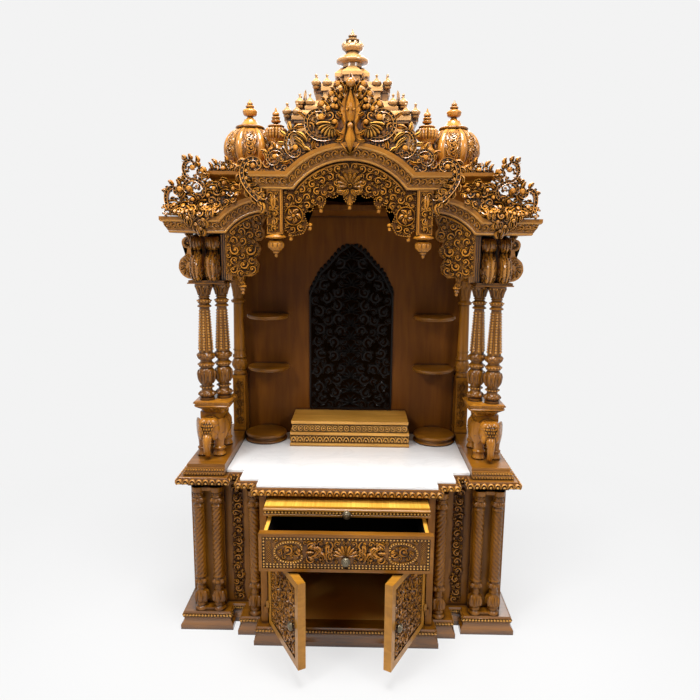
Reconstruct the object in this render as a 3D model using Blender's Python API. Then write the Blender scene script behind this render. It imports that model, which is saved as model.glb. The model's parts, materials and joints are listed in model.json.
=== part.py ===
"""Carved wooden home shrine: a stepped cabinet, and over it a pillared canopy with a stepped roof.

Metres, +Z up, the front faces -Y. The origin is the middle of the base, on the floor.
Shapes of turned and cut pieces are given as shares of the piece's own width and height.
"""

from math import atan2, cos, hypot, pi, radians, sin, sqrt

import bmesh
import bpy
from mathutils import Matrix, Vector

# Clearances
SEAT = 0.0003            # between two fixed pieces that touch
RUN = 0.0005             # under a sliding piece, on its runner
FREE = 0.005             # round anything that moves
LAP = 0.004              # how far joined shapes run into each other

# Plan of the counter's edge, right half; the left half mirrors it
CENTRE_HALF = 0.361
CENTRE_FRONT = -0.345
PIER_OUT = 0.438
PIER_FRONT = -0.280
BAY_FRONT = -0.190
WING_IN = 0.486
WING_OUT = 0.684
WING_FRONT = -0.250
BACK = 0.345
WALL_FRONT = 0.330       # the back wall's inner face

# Heights, each level on the one below
PLINTH_TOP = 0.075
CABINET_HEIGHT = 0.547
COUNTER_UNDER = PLINTH_TOP + CABINET_HEIGHT
COUNTER_THICK = 0.046
COUNTER_TOP = COUNTER_UNDER + COUNTER_THICK
MARBLE_THICK = 0.010
MARBLE_TOP = COUNTER_TOP + MARBLE_THICK
SIDE_PLINTH_HEIGHT = 0.045
SIDE_PLINTH_TOP = COUNTER_TOP + SIDE_PLINTH_HEIGHT
ELEPHANT_HEIGHT = 0.185
ELEPHANT_TOP = SIDE_PLINTH_TOP + ELEPHANT_HEIGHT
CONSOLE_HEIGHT = 0.054
CONSOLE_TOP = ELEPHANT_TOP + CONSOLE_HEIGHT
COLUMN_HEIGHT = 0.500
ABACUS_TOP = CONSOLE_TOP + COLUMN_HEIGHT
CAPITAL_HEIGHT = 0.185
CORNICE_FOOT = ABACUS_TOP + CAPITAL_HEIGHT
CORNICE_HEIGHT = 0.060
PORTICO_LIFT = 0.155
PORTICO_FOOT = CORNICE_FOOT + PORTICO_LIFT
DECK_LIFT = 0.038
DECK_FOOT = PORTICO_FOOT + DECK_LIFT
DECK_THICK = 0.038
DECK_TOP = DECK_FOOT + DECK_THICK

# Cabinet
PLINTH_SPREAD = 0.011
BODY_INSET = 0.060       # wing bodies behind the counter's edge, where their columns stand
BAY_INSET = 0.022
PANEL_BORDER = 0.045     # frame round the panel in each outer side
PANEL_RECESS = 0.005
BASE_COLUMN_RADIUS = 0.022
SHAFT_TURN = 2.9         # angle that a twisted shaft turns through

# Case in the middle of the cabinet
STILE_INSET = 0.015      # stile's outer side, inside the centre bay's
STILE_WIDTH = 0.026
OPENING_HALF = CENTRE_HALF - STILE_INSET - STILE_WIDTH
STILE_FRONT = -0.315
CASE_BACK_THICK = 0.020
DIVIDER_THICK = 0.018

# Tray, drawer and doors follow each other down from the counter; each rests as it is photographed
TRAY_TOP = COUNTER_UNDER - 0.006
TRAY_HEIGHT = 0.032
TRAY_BOTTOM = TRAY_TOP - TRAY_HEIGHT
TRAY_BOARD_THICK = 0.018
TRAY_FRONT_THICK = 0.022
TRAY_DEPTH = 0.520
TRAY_OUT = 0.090
DRAWER_TOP = TRAY_BOTTOM - 0.010
DRAWER_HEIGHT = 0.146
DRAWER_BOTTOM = DRAWER_TOP - DRAWER_HEIGHT
DRAWER_FRONT_THICK = 0.028
DRAWER_BORDER = 0.012
DRAWER_DEPTH = 0.500
DRAWER_OUT = 0.210
DRAWER_WALL = 0.014
DRAWER_SIDE_GAP = 0.016
DRAWER_BOX_HALF = OPENING_HALF - DRAWER_SIDE_GAP
DRAWER_HOLD = 0.018      # width of its box that lies on a runner
DRAWER_BOX_TOP = DRAWER_TOP - 0.014
DRAWER_BOX_FOOT = DRAWER_BOTTOM + 0.012
DIVIDER_TOP = DRAWER_BOTTOM - 0.010
DOOR_TOP = DRAWER_BOTTOM - 0.008
DOOR_BOTTOM = PLINTH_TOP + 0.006
DOOR_THICK = 0.030
DOOR_BORDER = 0.028
DOOR_OPEN = 62.0
DOOR_MEET = 0.007
HINGE_RADIUS = 0.004
HINGE_HEIGHT = 0.050
HINGE_FROM_END = 0.045
KNOB_RADIUS = 0.017
KNOB_REACH = 0.026

# Side plinths, elephants and columns, right-hand side; plans are x0, y0, x1, y1
SIDE_PLINTH_IN = 0.5015
SIDE_PLINTH_OUT = 0.668
SIDE_PLINTH_FRONT = -0.225
ELEPHANT_X = 0.583
ELEPHANT_Y = -0.035
ELEPHANT_HALF = 0.058    # half its width at the barrel
ELEPHANT_STANCE = 0.033  # feet from its middle line
CONSOLE_PLAN = (0.494, -0.135, 0.644, 0.020)
CONSOLE_TAPER = 0.034
COLUMN_RADIUS = 0.033
COLUMN_OUTER = (0.597, -0.085)
COLUMN_INNER = (0.535, -0.045)
ABACUS_PLAN = (0.500, -0.130, 0.652, 0.010)
ABACUS_THICK = 0.014
CAPITAL_PLAN = (0.475, -0.062, 0.628, 0.010)
FRONT_BRACKETS = ((0.6125, 0.0205), (0.549, 0.0250))     # middle and half width of each
FRONT_BRACKET_REACH = 0.093
SIDE_BRACKET_REACH = 0.077
SIDE_BRACKET_Y = -0.048
SIDE_BRACKET_HALF = 0.024
REAR_COLUMN = (0.5265, 0.270)
REAR_COLUMN_RADIUS = 0.030
REAR_BLOCK_HALF = 0.0245
REAR_BLOCK_HEIGHT = 0.272

# Wall, screen, pedestal and shelves
WALL_HALF = 0.520
SCREEN_HALF = 0.200
SCREEN_HEIGHT = 0.800
SCREEN_THICK = 0.008
PEDESTAL_HALF = 0.275
PEDESTAL_FRONT = 0.120
PEDESTAL_STEP = 0.067
PEDESTAL_HEIGHT = 0.119
SHELF_X = 0.390
SHELF_RADIUS = 0.097
SHELF_THICK = 0.018
SHELF_LIFTS = (0.332, 0.577)
STAND_X = 0.400
STAND_HEIGHT = 0.040

# Cornices and canopy
CORNICE_REACH = 0.030
CORNICE_WALL = 0.030
SIDE_LINE = (0.683, -0.225)
SIDE_ARCH_FOOT = 0.469
SIDE_ARCH_CROWN = 0.310
SIDE_ARCH_RISE = 0.080
ARCH_STEPS = 8
PORTICO_LINE = (0.330, -0.315)
PORTICO_ARCH_FOOT = 0.202
PORTICO_ARCH_RISE = 0.100
VAULT_LOW = 0.030        # the portico's vault, above the foot of its cornice
VAULT_THICK = 0.018
ATTIC_FRONT = -0.165
ATTIC_HALF = 0.520
BEAM_IN = 0.4765
CEILING_LIFT = 0.030
CEILING_HALF = 0.640
CEILING_THICK = 0.020
DECK_HALF = 0.549
DECK_OVERHANG = 0.030
POST_IN = 0.242
POST_OUT = 0.299
POST_DEPTH = 0.050
POST_HEIGHT = 0.158
POST_DROP = 0.084
VALANCE_THICK = 0.018
VALANCE_DROP = 0.167
SIDE_VALANCE_DROP = 0.204

# Roof
SPIRE_Y = 0.040
TIERS = ((0.246, 0.192, 0.144), (0.255, 0.200, 0.048), (0.208, 0.160, 0.043),
         (0.149, 0.120, 0.080), (0.069, 0.069, 0.072))   # half width, half depth, rise above the last
TIER_EDGE = 0.013
TIER_SLOPE = 0.026
TIER_INSET = 0.008
TIER_CORNER = 0.030      # square notch in each corner of a tier
FINIAL_RADIUS = 0.064
FINIAL_HEIGHT = 0.146
DOME_X = 0.405
DOME_Y = -0.020
DOME_RADIUS = 0.103
DOME_HEIGHT = 0.293
AMALAKA_X = 0.292
AMALAKA_Y = -0.095
AMALAKA_RADIUS = 0.040
AMALAKA_HEIGHT = 0.247
CREST_HEIGHT = 0.331
CREST_THICK = 0.026
CREST_SETBACK = 0.013    # crests stand this far behind a cornice's edge
CORNER_CREST_HEIGHT = 0.222
CORNER_CREST_WIDTH = 0.300

TEAK = (0.42, 0.20, 0.07)
DARK_TEAK = (0.26, 0.12, 0.045)
VENEER = (0.72, 0.45, 0.13)
MARBLE = (0.90, 0.90, 0.88)
BLACK = (0.015, 0.012, 0.010)
ANTIQUE = (0.30, 0.24, 0.14)


def start():
    """Empty the scene."""
    for item in list(bpy.data.objects):
        bpy.data.objects.remove(item)


def material(name, colour, rough=0.4, metal=0.0):
    """Principled material of one sub-part."""
    made = bpy.data.materials.new(name)
    made.use_nodes = True
    shader = made.node_tree.nodes["Principled BSDF"]
    shader.inputs["Base Color"].default_value = (*colour, 1.0)
    shader.inputs["Roughness"].default_value = rough
    shader.inputs["Metallic"].default_value = metal
    return made


def place(name, shape, colour=TEAK, rough=0.4, metal=0.0, parent=None):
    """Make a named object from a bmesh, whose places are world places."""
    bmesh.ops.recalc_face_normals(shape, faces=shape.faces)
    mesh = bpy.data.meshes.new(name)
    shape.to_mesh(mesh)
    shape.free()
    mesh.materials.append(material(name, colour, rough, metal))
    made = bpy.data.objects.new(name, mesh)
    bpy.context.collection.objects.link(made)
    if parent:
        bpy.context.view_layer.update()
        made.parent = parent
        made.matrix_parent_inverse = parent.matrix_world.inverted()
    return made


def pivot(name, where):
    """Empty that stands on a joint."""
    made = bpy.data.objects.new(name, None)
    made.location = where
    bpy.context.collection.objects.link(made)
    return made


def tube_of_loops(loops):
    """Closed solid through a row of loops with equal counts of points."""
    shape = bmesh.new()
    rings = [[shape.verts.new(p) for p in loop] for loop in loops]
    count = len(loops[0])
    for low, high in zip(rings, rings[1:]):
        for i in range(count):
            j = (i + 1) % count
            shape.faces.new((low[i], low[j], high[j], high[i]))
    shape.faces.new(list(reversed(rings[0])))
    shape.faces.new(rings[-1])
    return shape


def block(low, high):
    """Box between two corners."""
    (x0, y0, z0), (x1, y1, z1) = low, high
    plan = [(x0, y0), (x1, y0), (x1, y1), (x0, y1)]
    return tube_of_loops([[(x, y, z) for x, y in plan] for z in (z0, z1)])


def plan_solid(plan, bottom, top):
    """Plan outline raised between two heights."""
    return tube_of_loops([[(x, y, z) for x, y in plan] for z in (bottom, top)])


def front_solid(outline, y0, y1):
    """Front outline of (x, z) points, given depth along Y."""
    return tube_of_loops([[(x, y, z) for x, z in outline] for y in (y0, y1)])


def side_solid(outline, x0, x1):
    """Side outline of (y, z) points, given width along X."""
    return tube_of_loops([[(x, y, z) for y, z in outline] for x in (x0, x1)])


def stepped_slab(plan_at, profile):
    """Moulded slab: plan_at(out) gives the plan for each (out, z) of the profile."""
    return tube_of_loops([[(x, y, z) for x, y in plan_at(out)] for out, z in profile])


def rectangle(x0, y0, x1, y1):
    """Plan function of a rectangle that grows by out on all sides."""
    def plan(out):
        return [(x0 - out, y0 - out), (x1 + out, y0 - out), (x1 + out, y1 + out), (x0 - out, y1 + out)]
    return plan


def against_wall(x0, x1, front, back):
    """Plan function of a block against the wall, which grows on its front and sides only."""
    return lambda out: [(x0 - out, front - out), (x1 + out, front - out), (x1 + out, back), (x0 - out, back)]


def shares(rows, radius, foot, height):
    """Turned profile in metres from rows of (radius share, height share, and what else a row holds)."""
    return [(radius * r, foot + height * z, *rest) for r, z, *rest in rows]


def turned(profile, x, y, sides=12):
    """Turned piece on a vertical axis. A row is (radius, z), or (radius, z, flute depth, turn)."""
    loops = []
    for radius, z, *rest in profile:
        depth, turn = rest or (0.0, 0.0)
        loop = []
        for i in range(sides):
            angle = 2 * pi * i / sides + turn
            r = radius * (1 - depth * (i % 2))
            loop.append((x + r * cos(angle), y + r * sin(angle), z))
        loops.append(loop)
    return tube_of_loops(loops)


def ring(centre, across, up, radius, sides):
    """Circle of points round a centre, in the plane of two directions."""
    angles = [2 * pi * i / sides for i in range(sides)]
    return [tuple(centre + radius * (across * cos(a) + up * sin(a))) for a in angles]


def turned_forward(profile, x, y, z, direction, sides=10):
    """Turned piece whose axis is level and points along direction; profile holds (radius, reach)."""
    ahead = Vector(direction).normalized()
    up = Vector((0, 0, 1))
    across = up.cross(ahead)
    loops = []
    for radius, reach in profile:
        centre = Vector((x, y, z)) + ahead * reach
        loops.append(ring(centre, across, up, radius, sides))
    return tube_of_loops(loops)


def lofted(sections, sides=10):
    """Rounded body through upright sections; each is (x, y, z, half width, half height)."""
    loops = []
    for x, y, z, wide, high in sections:
        loops.append([(x + wide * cos(2 * pi * i / sides), y, z + high * sin(2 * pi * i / sides))
                      for i in range(sides)])
    return tube_of_loops(loops)


def swept(path, radii, sides=8):
    """Round solid that follows a path in a plane of constant x, with one radius at each point."""
    loops = []
    for k, centre in enumerate(path):
        ahead = Vector(path[min(k + 1, len(path) - 1)]) - Vector(path[max(k - 1, 0)])
        across = Vector((1, 0, 0))
        up = ahead.cross(across).normalized()
        loops.append(ring(Vector(centre), across, up, radii[k], sides))
    return tube_of_loops(loops)


def as_object(shape):
    """Temporary object of a bmesh."""
    bmesh.ops.recalc_face_normals(shape, faces=shape.faces)
    mesh = bpy.data.meshes.new("work")
    shape.to_mesh(mesh)
    shape.free()
    made = bpy.data.objects.new("work", mesh)
    bpy.context.collection.objects.link(made)
    return made


def combined(shapes, operation="UNION"):
    """Join the shapes, or cut the later ones out of the first, into one bmesh."""
    objects = [as_object(shape) for shape in shapes]
    for other in objects[1:]:
        step = objects[0].modifiers.new("step", "BOOLEAN")
        step.operation = operation
        step.solver = "EXACT"
        step.object = other
    bpy.context.view_layer.update()
    ready = objects[0].evaluated_get(bpy.context.evaluated_depsgraph_get())
    shape = bmesh.new()
    shape.from_mesh(ready.to_mesh())
    ready.to_mesh_clear()
    for item in objects:
        bpy.data.objects.remove(item)
    bmesh.ops.remove_doubles(shape, verts=shape.verts, dist=1e-6)
    return shape


def mirrored(shape):
    """Copy of a right-hand shape for the left side."""
    copy = shape.copy()
    bmesh.ops.transform(copy, matrix=Matrix.Diagonal((-1, 1, 1, 1)), verts=copy.verts)
    bmesh.ops.reverse_faces(copy, faces=copy.faces)
    return copy


def both_halves(right):
    """Whole outline from its right half, whose first and last points lie on the middle line."""
    return right + [(-x, z) for x, z in reversed(right[1:-1])]


def pair(name, shape, colour=TEAK, rough=0.4, metal=0.0):
    """Place a right-hand shape and its mirror image."""
    place(f"{name}_left", mirrored(shape), colour, rough, metal)
    place(f"{name}_right", shape, colour, rough, metal)


def arc(centre_x, centre_z, radius, start_angle, end_angle, steps):
    """Points of a circle's arc in the front view."""
    angles = [start_angle + (end_angle - start_angle) * i / steps for i in range(steps + 1)]
    return [(centre_x + radius * cos(a), centre_z + radius * sin(a)) for a in angles]


def arch_point(arch, up, share):
    """Point (x, z) of an arch, up above its own line, at a share of the way from foot to crown.

    An arch is (foot x, crown x, base z, rise); each height keeps its own concentric arc."""
    foot, crown, base, rise = arch
    span = foot - crown
    radius = (span * span + rise * rise) / (2 * rise)
    r = radius + up
    opening = atan2(sqrt(r * r - (r - rise) ** 2), r - rise) * (1 - share)
    return crown + r * sin(opening), base + rise - radius + r * cos(opening)


def arch_line(arch, up, last_share=1.0, steps=ARCH_STEPS):
    """Points of an arch from its foot up to a share of the way to its crown."""
    return [arch_point(arch, up, last_share * i / steps) for i in range(steps + 1)]


def arch_section(profile, y, arch, share):
    """Loop of an arched cornice, at a share of the way from its foot to its crown."""
    points = [(out, arch_point(arch, up, share)) for out, up in profile]
    return [(x, y - out, z) for out, (x, z) in points]


def level_section(profile, x, y, base, across):
    """Loop of a level cornice on its plan line; across is the plan direction that out follows."""
    return [(x + out * across[0], y + out * across[1], base + up) for out, up in profile]


def scalloped(circles, first, last, steps=4):
    """Carved edge that runs round the left side of each circle in turn, as one travels along them.

    Circles are (x, z, radius). Where two overlap the edge turns in at their crossing."""
    meets = [first]
    for (ax, az, ar), (bx, bz, br) in zip(circles, circles[1:]):
        gap = hypot(bx - ax, bz - az)
        ux, uz = (bx - ax) / gap, (bz - az) / gap
        along = (gap * gap + ar * ar - br * br) / (2 * gap) if gap < ar + br else (gap + ar - br) / 2
        out = sqrt(max(ar * ar - along * along, 0.0))
        meets.append((ax + along * ux - out * uz, az + along * uz + out * ux))
    meets.append(last)
    edge = []
    for (x, z, radius), begin, end in zip(circles, meets, meets[1:]):
        turn_in = atan2(begin[1] - z, begin[0] - x)
        turn_out = atan2(end[1] - z, end[0] - x)
        if turn_out > turn_in:
            turn_out -= 2 * pi
        for point in arc(x, z, radius, turn_in, turn_out, steps):
            if not edge or hypot(point[0] - edge[-1][0], point[1] - edge[-1][1]) > 1e-4:
                edge.append(point)
    return edge


def base_plan(out):
    """Plan of the cabinet, out beyond the counter's edge; the back stays on the wall."""
    right = [(CENTRE_HALF + out, CENTRE_FRONT - out), (CENTRE_HALF + out, PIER_FRONT - out),
             (PIER_OUT + out, PIER_FRONT - out), (PIER_OUT + out, BAY_FRONT - out),
             (WING_IN - out, BAY_FRONT - out), (WING_IN - out, WING_FRONT - out),
             (WING_OUT + out, WING_FRONT - out), (WING_OUT + out, BACK)]
    return right + [(-x, y) for x, y in reversed(right)]


def side_cabinet():
    """Right-hand wing and pier of the cabinet with the tray's runner and the door's fixed hinge halves."""
    stile_out = OPENING_HALF + STILE_WIDTH
    pier_body = PIER_OUT - CORNICE_WALL
    pier_front = PIER_FRONT + BODY_INSET
    wing_in = WING_IN + CORNICE_WALL
    wing_out = WING_OUT - CORNICE_WALL - LAP
    wing_front = WING_FRONT + BODY_INSET
    bay_front = BAY_FRONT + BAY_INSET
    low, high = PLINTH_TOP + SEAT, COUNTER_UNDER - SEAT
    body = plan_solid([(OPENING_HALF, STILE_FRONT), (stile_out, STILE_FRONT), (stile_out, pier_front),
                       (pier_body, pier_front), (pier_body, bay_front), (wing_in, bay_front),
                       (wing_in, wing_front), (wing_out, wing_front), (wing_out, BACK), (OPENING_HALF, BACK)],
                      low, high)
    panel = block((wing_out - PANEL_RECESS, wing_front + PANEL_BORDER, low + PANEL_BORDER),
                  (wing_out + PANEL_RECESS, BACK - PANEL_BORDER, high - PANEL_BORDER))
    body = combined([body, panel], "DIFFERENCE")
    runner = block((OPENING_HALF - 0.018, STILE_FRONT + 0.030, TRAY_BOTTOM - 0.004),
                   (OPENING_HALF + 0.010, WALL_FRONT - 0.010, TRAY_TOP - TRAY_BOARD_THICK - RUN))
    knuckles = [hinge_knuckle(z, z + HINGE_HEIGHT / 2 - SEAT, True) for z in hinge_feet()]
    return combined([body, runner] + knuckles)


def case_interior():
    """Back of the case and the board under the drawer, with the drawer's two runners."""
    low, high = PLINTH_TOP + SEAT, COUNTER_UNDER - SEAT
    inner = OPENING_HALF - SEAT
    back_face = BACK - CASE_BACK_THICK
    front = STILE_FRONT + DOOR_THICK
    back_board = block((-inner, back_face, low), (inner, BACK, high))
    board = block((-inner, front, DIVIDER_TOP - DIVIDER_THICK), (inner, back_face + LAP, DIVIDER_TOP))
    runner = block((DRAWER_BOX_HALF - DRAWER_HOLD - SEAT, front + 0.004, DIVIDER_TOP - LAP),
                   (inner, back_face + LAP / 2, DRAWER_BOX_FOOT - RUN))
    return combined([back_board, board, mirrored(runner), runner])


def base():
    """Plinth, side cabinets, case pieces, counter and marble."""
    band = PLINTH_TOP - 0.007
    plinth = [(PLINTH_SPREAD, 0.0), (PLINTH_SPREAD, 0.020), (PLINTH_SPREAD - 0.004, 0.026),
              (0.001, 0.034), (-0.002, 0.044), (0.001, 0.050), (0.001, band), (-0.003, PLINTH_TOP)]
    place("base_plinth", stepped_slab(base_plan, plinth), DARK_TEAK)
    pair("side_cabinet", side_cabinet())
    place("case_interior", case_interior(), DARK_TEAK)

    counter = [(-0.030, COUNTER_UNDER), (-0.028, COUNTER_UNDER + 0.008), (-0.014, COUNTER_UNDER + 0.018),
               (-0.008, COUNTER_UNDER + 0.022), (0.0, COUNTER_UNDER + 0.027), (0.0, COUNTER_TOP - 0.004),
               (-0.003, COUNTER_TOP)]
    place("counter_top", stepped_slab(base_plan, counter))

    edge = 0.009
    side = SIDE_PLINTH_IN - SEAT
    plan = [(CENTRE_HALF - edge, CENTRE_FRONT + edge), (CENTRE_HALF - edge, PIER_FRONT + edge),
            (PIER_OUT - edge, PIER_FRONT + edge), (PIER_OUT - edge, BAY_FRONT + edge),
            (side, BAY_FRONT + edge), (side, WALL_FRONT - SEAT)]
    plan += [(-x, y) for x, y in reversed(plan)]
    place("marble_top", plan_solid(plan, COUNTER_TOP + SEAT, MARBLE_TOP), MARBLE, 0.2)


def twisted_profile(foot, top):
    """Column of the cabinet: a vase and rings, a shaft with twisted flutes, and a flared cap."""
    lower = ((1.15, 0.0), (1.15, 0.028), (0.85, 0.045), (1.12, 0.100), (0.72, 0.165), (0.72, 0.210),
             (0.95, 0.245), (0.80, 0.262), (1.02, 0.285))
    upper = ((1.02, 0.854), (0.78, 0.872), (1.08, 0.925), (0.95, 0.950), (1.15, 0.965), (1.15, 1.0))
    steps = 6
    shaft = [(0.90, 0.305 + 0.530 * i / steps, 0.14, SHAFT_TURN * i / steps) for i in range(steps + 1)]
    return shares([*lower, *shaft, *upper], BASE_COLUMN_RADIUS, foot, top - foot)


def base_columns():
    """Columns that stand on the plinth in front of the cabinet's wings and piers."""
    foot, top = PLINTH_TOP + SEAT, COUNTER_UNDER - SEAT
    profile = twisted_profile(foot, top)
    wing_y = WING_FRONT + BODY_INSET / 2
    xs = (WING_IN + 0.052, WING_OUT - 0.071)
    half = BASE_COLUMN_RADIUS - 0.004
    ties = [block((xs[0] - half, wing_y - half, z0), (xs[1] + half, wing_y + half, z1))
            for z0, z1 in ((foot, foot + 0.012), (top - 0.014, top))]
    pair("wing_columns", combined(ties + [turned(profile, x, wing_y, 8) for x in xs]))
    pier_x = CENTRE_HALF + BASE_COLUMN_RADIUS - 0.003
    pair("pier_column", turned(profile, pier_x, PIER_FRONT + BODY_INSET / 2, 8))


def knob(name, x, y, z, direction, parent):
    """Turned pull with a stem, a dished face and a middle button."""
    profile = [(0.0070, SEAT), (0.0060, 0.011), (0.0120, 0.014), (KNOB_RADIUS, 0.018),
               (KNOB_RADIUS, 0.021), (0.0080, 0.0220), (0.0060, KNOB_REACH)]
    place(name, turned_forward(profile, x, y, z, direction), ANTIQUE, 0.35, 1.0, parent)


def tray():
    """Pull-out board with a moulded front, under the counter."""
    front_y = STILE_FRONT - FREE - TRAY_OUT
    half = OPENING_HALF - FREE
    groove = 0.004
    slider = pivot("tray_slide", (0, front_y, TRAY_BOTTOM))
    board = block((-half, front_y + 0.010, TRAY_TOP - TRAY_BOARD_THICK),
                  (half, front_y + TRAY_DEPTH, TRAY_TOP))
    edge = [(front_y + groove, TRAY_TOP - 0.001), (front_y, TRAY_TOP - 0.004), (front_y, TRAY_TOP - 0.010),
            (front_y + groove, TRAY_TOP - 0.011), (front_y + groove, TRAY_BOTTOM + 0.010),
            (front_y, TRAY_BOTTOM + 0.007), (front_y + 0.002, TRAY_BOTTOM),
            (front_y + TRAY_FRONT_THICK, TRAY_BOTTOM), (front_y + TRAY_FRONT_THICK, TRAY_TOP - 0.001)]
    place("tray", combined([board, side_solid(edge, -half, half)]), VENEER, 0.35, 0.0, slider)
    knob("tray_knob", 0, front_y, (TRAY_BOTTOM + TRAY_TOP) / 2, (0, -1, 0), slider)


def framed_board(low, high, border):
    """Board between two corners whose front has a sunk field inside a plain border."""
    field = block((low[0] + border, low[1] - PANEL_RECESS, low[2] + border),
                  (high[0] - border, low[1] + PANEL_RECESS, high[2] - border))
    return combined([block(low, high), field], "DIFFERENCE")


def drawer():
    """Drawer with an open box behind its front."""
    front_y = STILE_FRONT - FREE - DRAWER_OUT
    half = OPENING_HALF - FREE
    slider = pivot("drawer_slide", (0, front_y, DRAWER_BOTTOM))
    back_y = front_y + DRAWER_FRONT_THICK
    board = framed_board((-half, front_y, DRAWER_BOTTOM), (half, back_y, DRAWER_TOP), DRAWER_BORDER)
    place("drawer_front", board, TEAK, 0.4, 0, slider)
    box = block((-DRAWER_BOX_HALF, back_y + SEAT, DRAWER_BOX_FOOT),
                (DRAWER_BOX_HALF, back_y + DRAWER_DEPTH, DRAWER_BOX_TOP))
    inside = DRAWER_BOX_HALF - DRAWER_WALL
    hollow = block((-inside, back_y + DRAWER_WALL, DRAWER_BOX_FOOT + 0.008),
                   (inside, back_y + DRAWER_DEPTH - DRAWER_WALL, DRAWER_BOX_TOP + 0.050))
    place("drawer_box", combined([box, hollow], "DIFFERENCE"), VENEER, 0.5, 0, slider)
    knob("drawer_knob", 0, front_y + PANEL_RECESS, DRAWER_BOTTOM + 0.32 * DRAWER_HEIGHT, (0, -1, 0), slider)


def hinge_axis():
    """Plan place of the right door's hinge axis."""
    return OPENING_HALF - FREE + HINGE_RADIUS, STILE_FRONT - FREE - HINGE_RADIUS


def hinge_feet():
    """Lower ends of a door's two hinges."""
    return (DOOR_BOTTOM + HINGE_FROM_END, DOOR_TOP - HINGE_FROM_END - HINGE_HEIGHT)


def hinge_knuckle(low, high, fixed):
    """Half of a butt hinge: a barrel with the leaf that holds it, right-hand door, closed."""
    x, y = hinge_axis()
    barrel = turned([(HINGE_RADIUS, low), (HINGE_RADIUS, high)], x, y, 10)
    if fixed:
        leaf = block((x - 0.001, y, low), (x + 0.014, STILE_FRONT + 0.004, high))
    else:
        leaf = block((x - 0.014, y, low), (x + 0.001, STILE_FRONT, high))
    return combined([barrel, leaf])


def door():
    """Right-hand door, closed, with its halves of the hinges."""
    front = STILE_FRONT - FREE
    low, high = (DOOR_MEET / 2, front, DOOR_BOTTOM), (OPENING_HALF - FREE, front + DOOR_THICK, DOOR_TOP)
    leaf = framed_board(low, high, DOOR_BORDER)
    knuckles = [hinge_knuckle(z + HINGE_HEIGHT / 2, z + HINGE_HEIGHT, False) for z in hinge_feet()]
    return combined([leaf] + knuckles)


def doors():
    """Both doors, turned open about their hinge axes as photographed."""
    x, y = hinge_axis()
    knob_x = DOOR_MEET / 2 + DOOR_BORDER + KNOB_RADIUS
    knob_z = DOOR_BOTTOM + 0.455 * (DOOR_TOP - DOOR_BOTTOM)
    for side, name in ((-1, "left"), (1, "right")):
        turn = radians(DOOR_OPEN) * side
        hinge = pivot(f"door_{name}_hinge", (side * x, y, DOOR_BOTTOM))
        swing = (Matrix.Translation((side * x, y, 0)) @ Matrix.Rotation(turn, 4, "Z")
                 @ Matrix.Translation((-side * x, -y, 0)))
        shape = door() if side > 0 else mirrored(door())
        bmesh.ops.transform(shape, matrix=swing, verts=shape.verts)
        place(f"door_{name}", shape, TEAK, 0.4, 0, hinge)
        grip = swing @ Vector((side * knob_x, STILE_FRONT - FREE + PANEL_RECESS, knob_z))
        ahead = swing.to_3x3() @ Vector((0, -1, 0))
        knob(f"door_knob_{name}", grip.x, grip.y, grip.z, ahead, hinge)


def elephant():
    """Standing elephant that faces forward, with its saddle and the console that it carries."""
    x, y, foot, tall, half = ELEPHANT_X, ELEPHANT_Y, SIDE_PLINTH_TOP + SEAT, ELEPHANT_HEIGHT, ELEPHANT_HALF
    body_rows = ((0.122, 0.58, 0.20, 0.07), (0.110, 0.58, 0.68, 0.24), (0.070, 0.58, 0.97, 0.34),
                 (0.010, 0.56, 1.00, 0.36), (-0.035, 0.59, 0.90, 0.33), (-0.055, 0.66, 0.72, 0.27),
                 (-0.078, 0.69, 0.80, 0.27), (-0.104, 0.66, 0.68, 0.24), (-0.121, 0.60, 0.42, 0.16),
                 (-0.128, 0.57, 0.16, 0.07))
    body = lofted([(x, y + reach, foot + tall * z, half * wide, tall * high)
                   for reach, z, wide, high in body_rows], 8)
    leg = ((0.025, 0.0), (0.025, 0.05), (0.020, 0.10), (0.024, 0.55))
    legs = [turned([(r, foot + tall * z) for r, z in leg], x + side * ELEPHANT_STANCE, y + reach, 7)
            for side in (-1, 1) for reach in (-0.060, 0.082)]
    ears = [lofted([(x + side * half * 0.80, y - 0.078 + 0.030 * i, foot + tall * (0.62 - 0.03 * i),
                     0.007, tall * h) for i, h in enumerate((0.10, 0.24, 0.20))], 8) for side in (-1, 1)]
    bends = ((-0.112, 0.58), (-0.128, 0.46), (-0.135, 0.34), (-0.136, 0.22), (-0.128, 0.12), (-0.114, 0.10),
             (-0.104, 0.15))
    trunk = swept([(x, y + reach, foot + tall * z) for reach, z in bends],
                  (0.020, 0.018, 0.016, 0.013, 0.011, 0.010, 0.008), 6)
    saddle = block((x - 0.045, y - 0.055, foot + tall * 0.80), (x + 0.045, y + 0.085, ELEPHANT_TOP + LAP))
    return combined([body] + legs + ears + [trunk, saddle, console()])


def console():
    """Spreading slab between an elephant's saddle and the columns."""
    tall = CONSOLE_HEIGHT
    profile = [(-CONSOLE_TAPER, 0.0), (-0.88 * CONSOLE_TAPER, 0.18 * tall),
               (-0.30 * CONSOLE_TAPER, 0.62 * tall), (0.0, 0.78 * tall), (0.0, tall - SEAT)]
    return stepped_slab(rectangle(*CONSOLE_PLAN), [(out, ELEPHANT_TOP + up) for out, up in profile])


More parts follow.
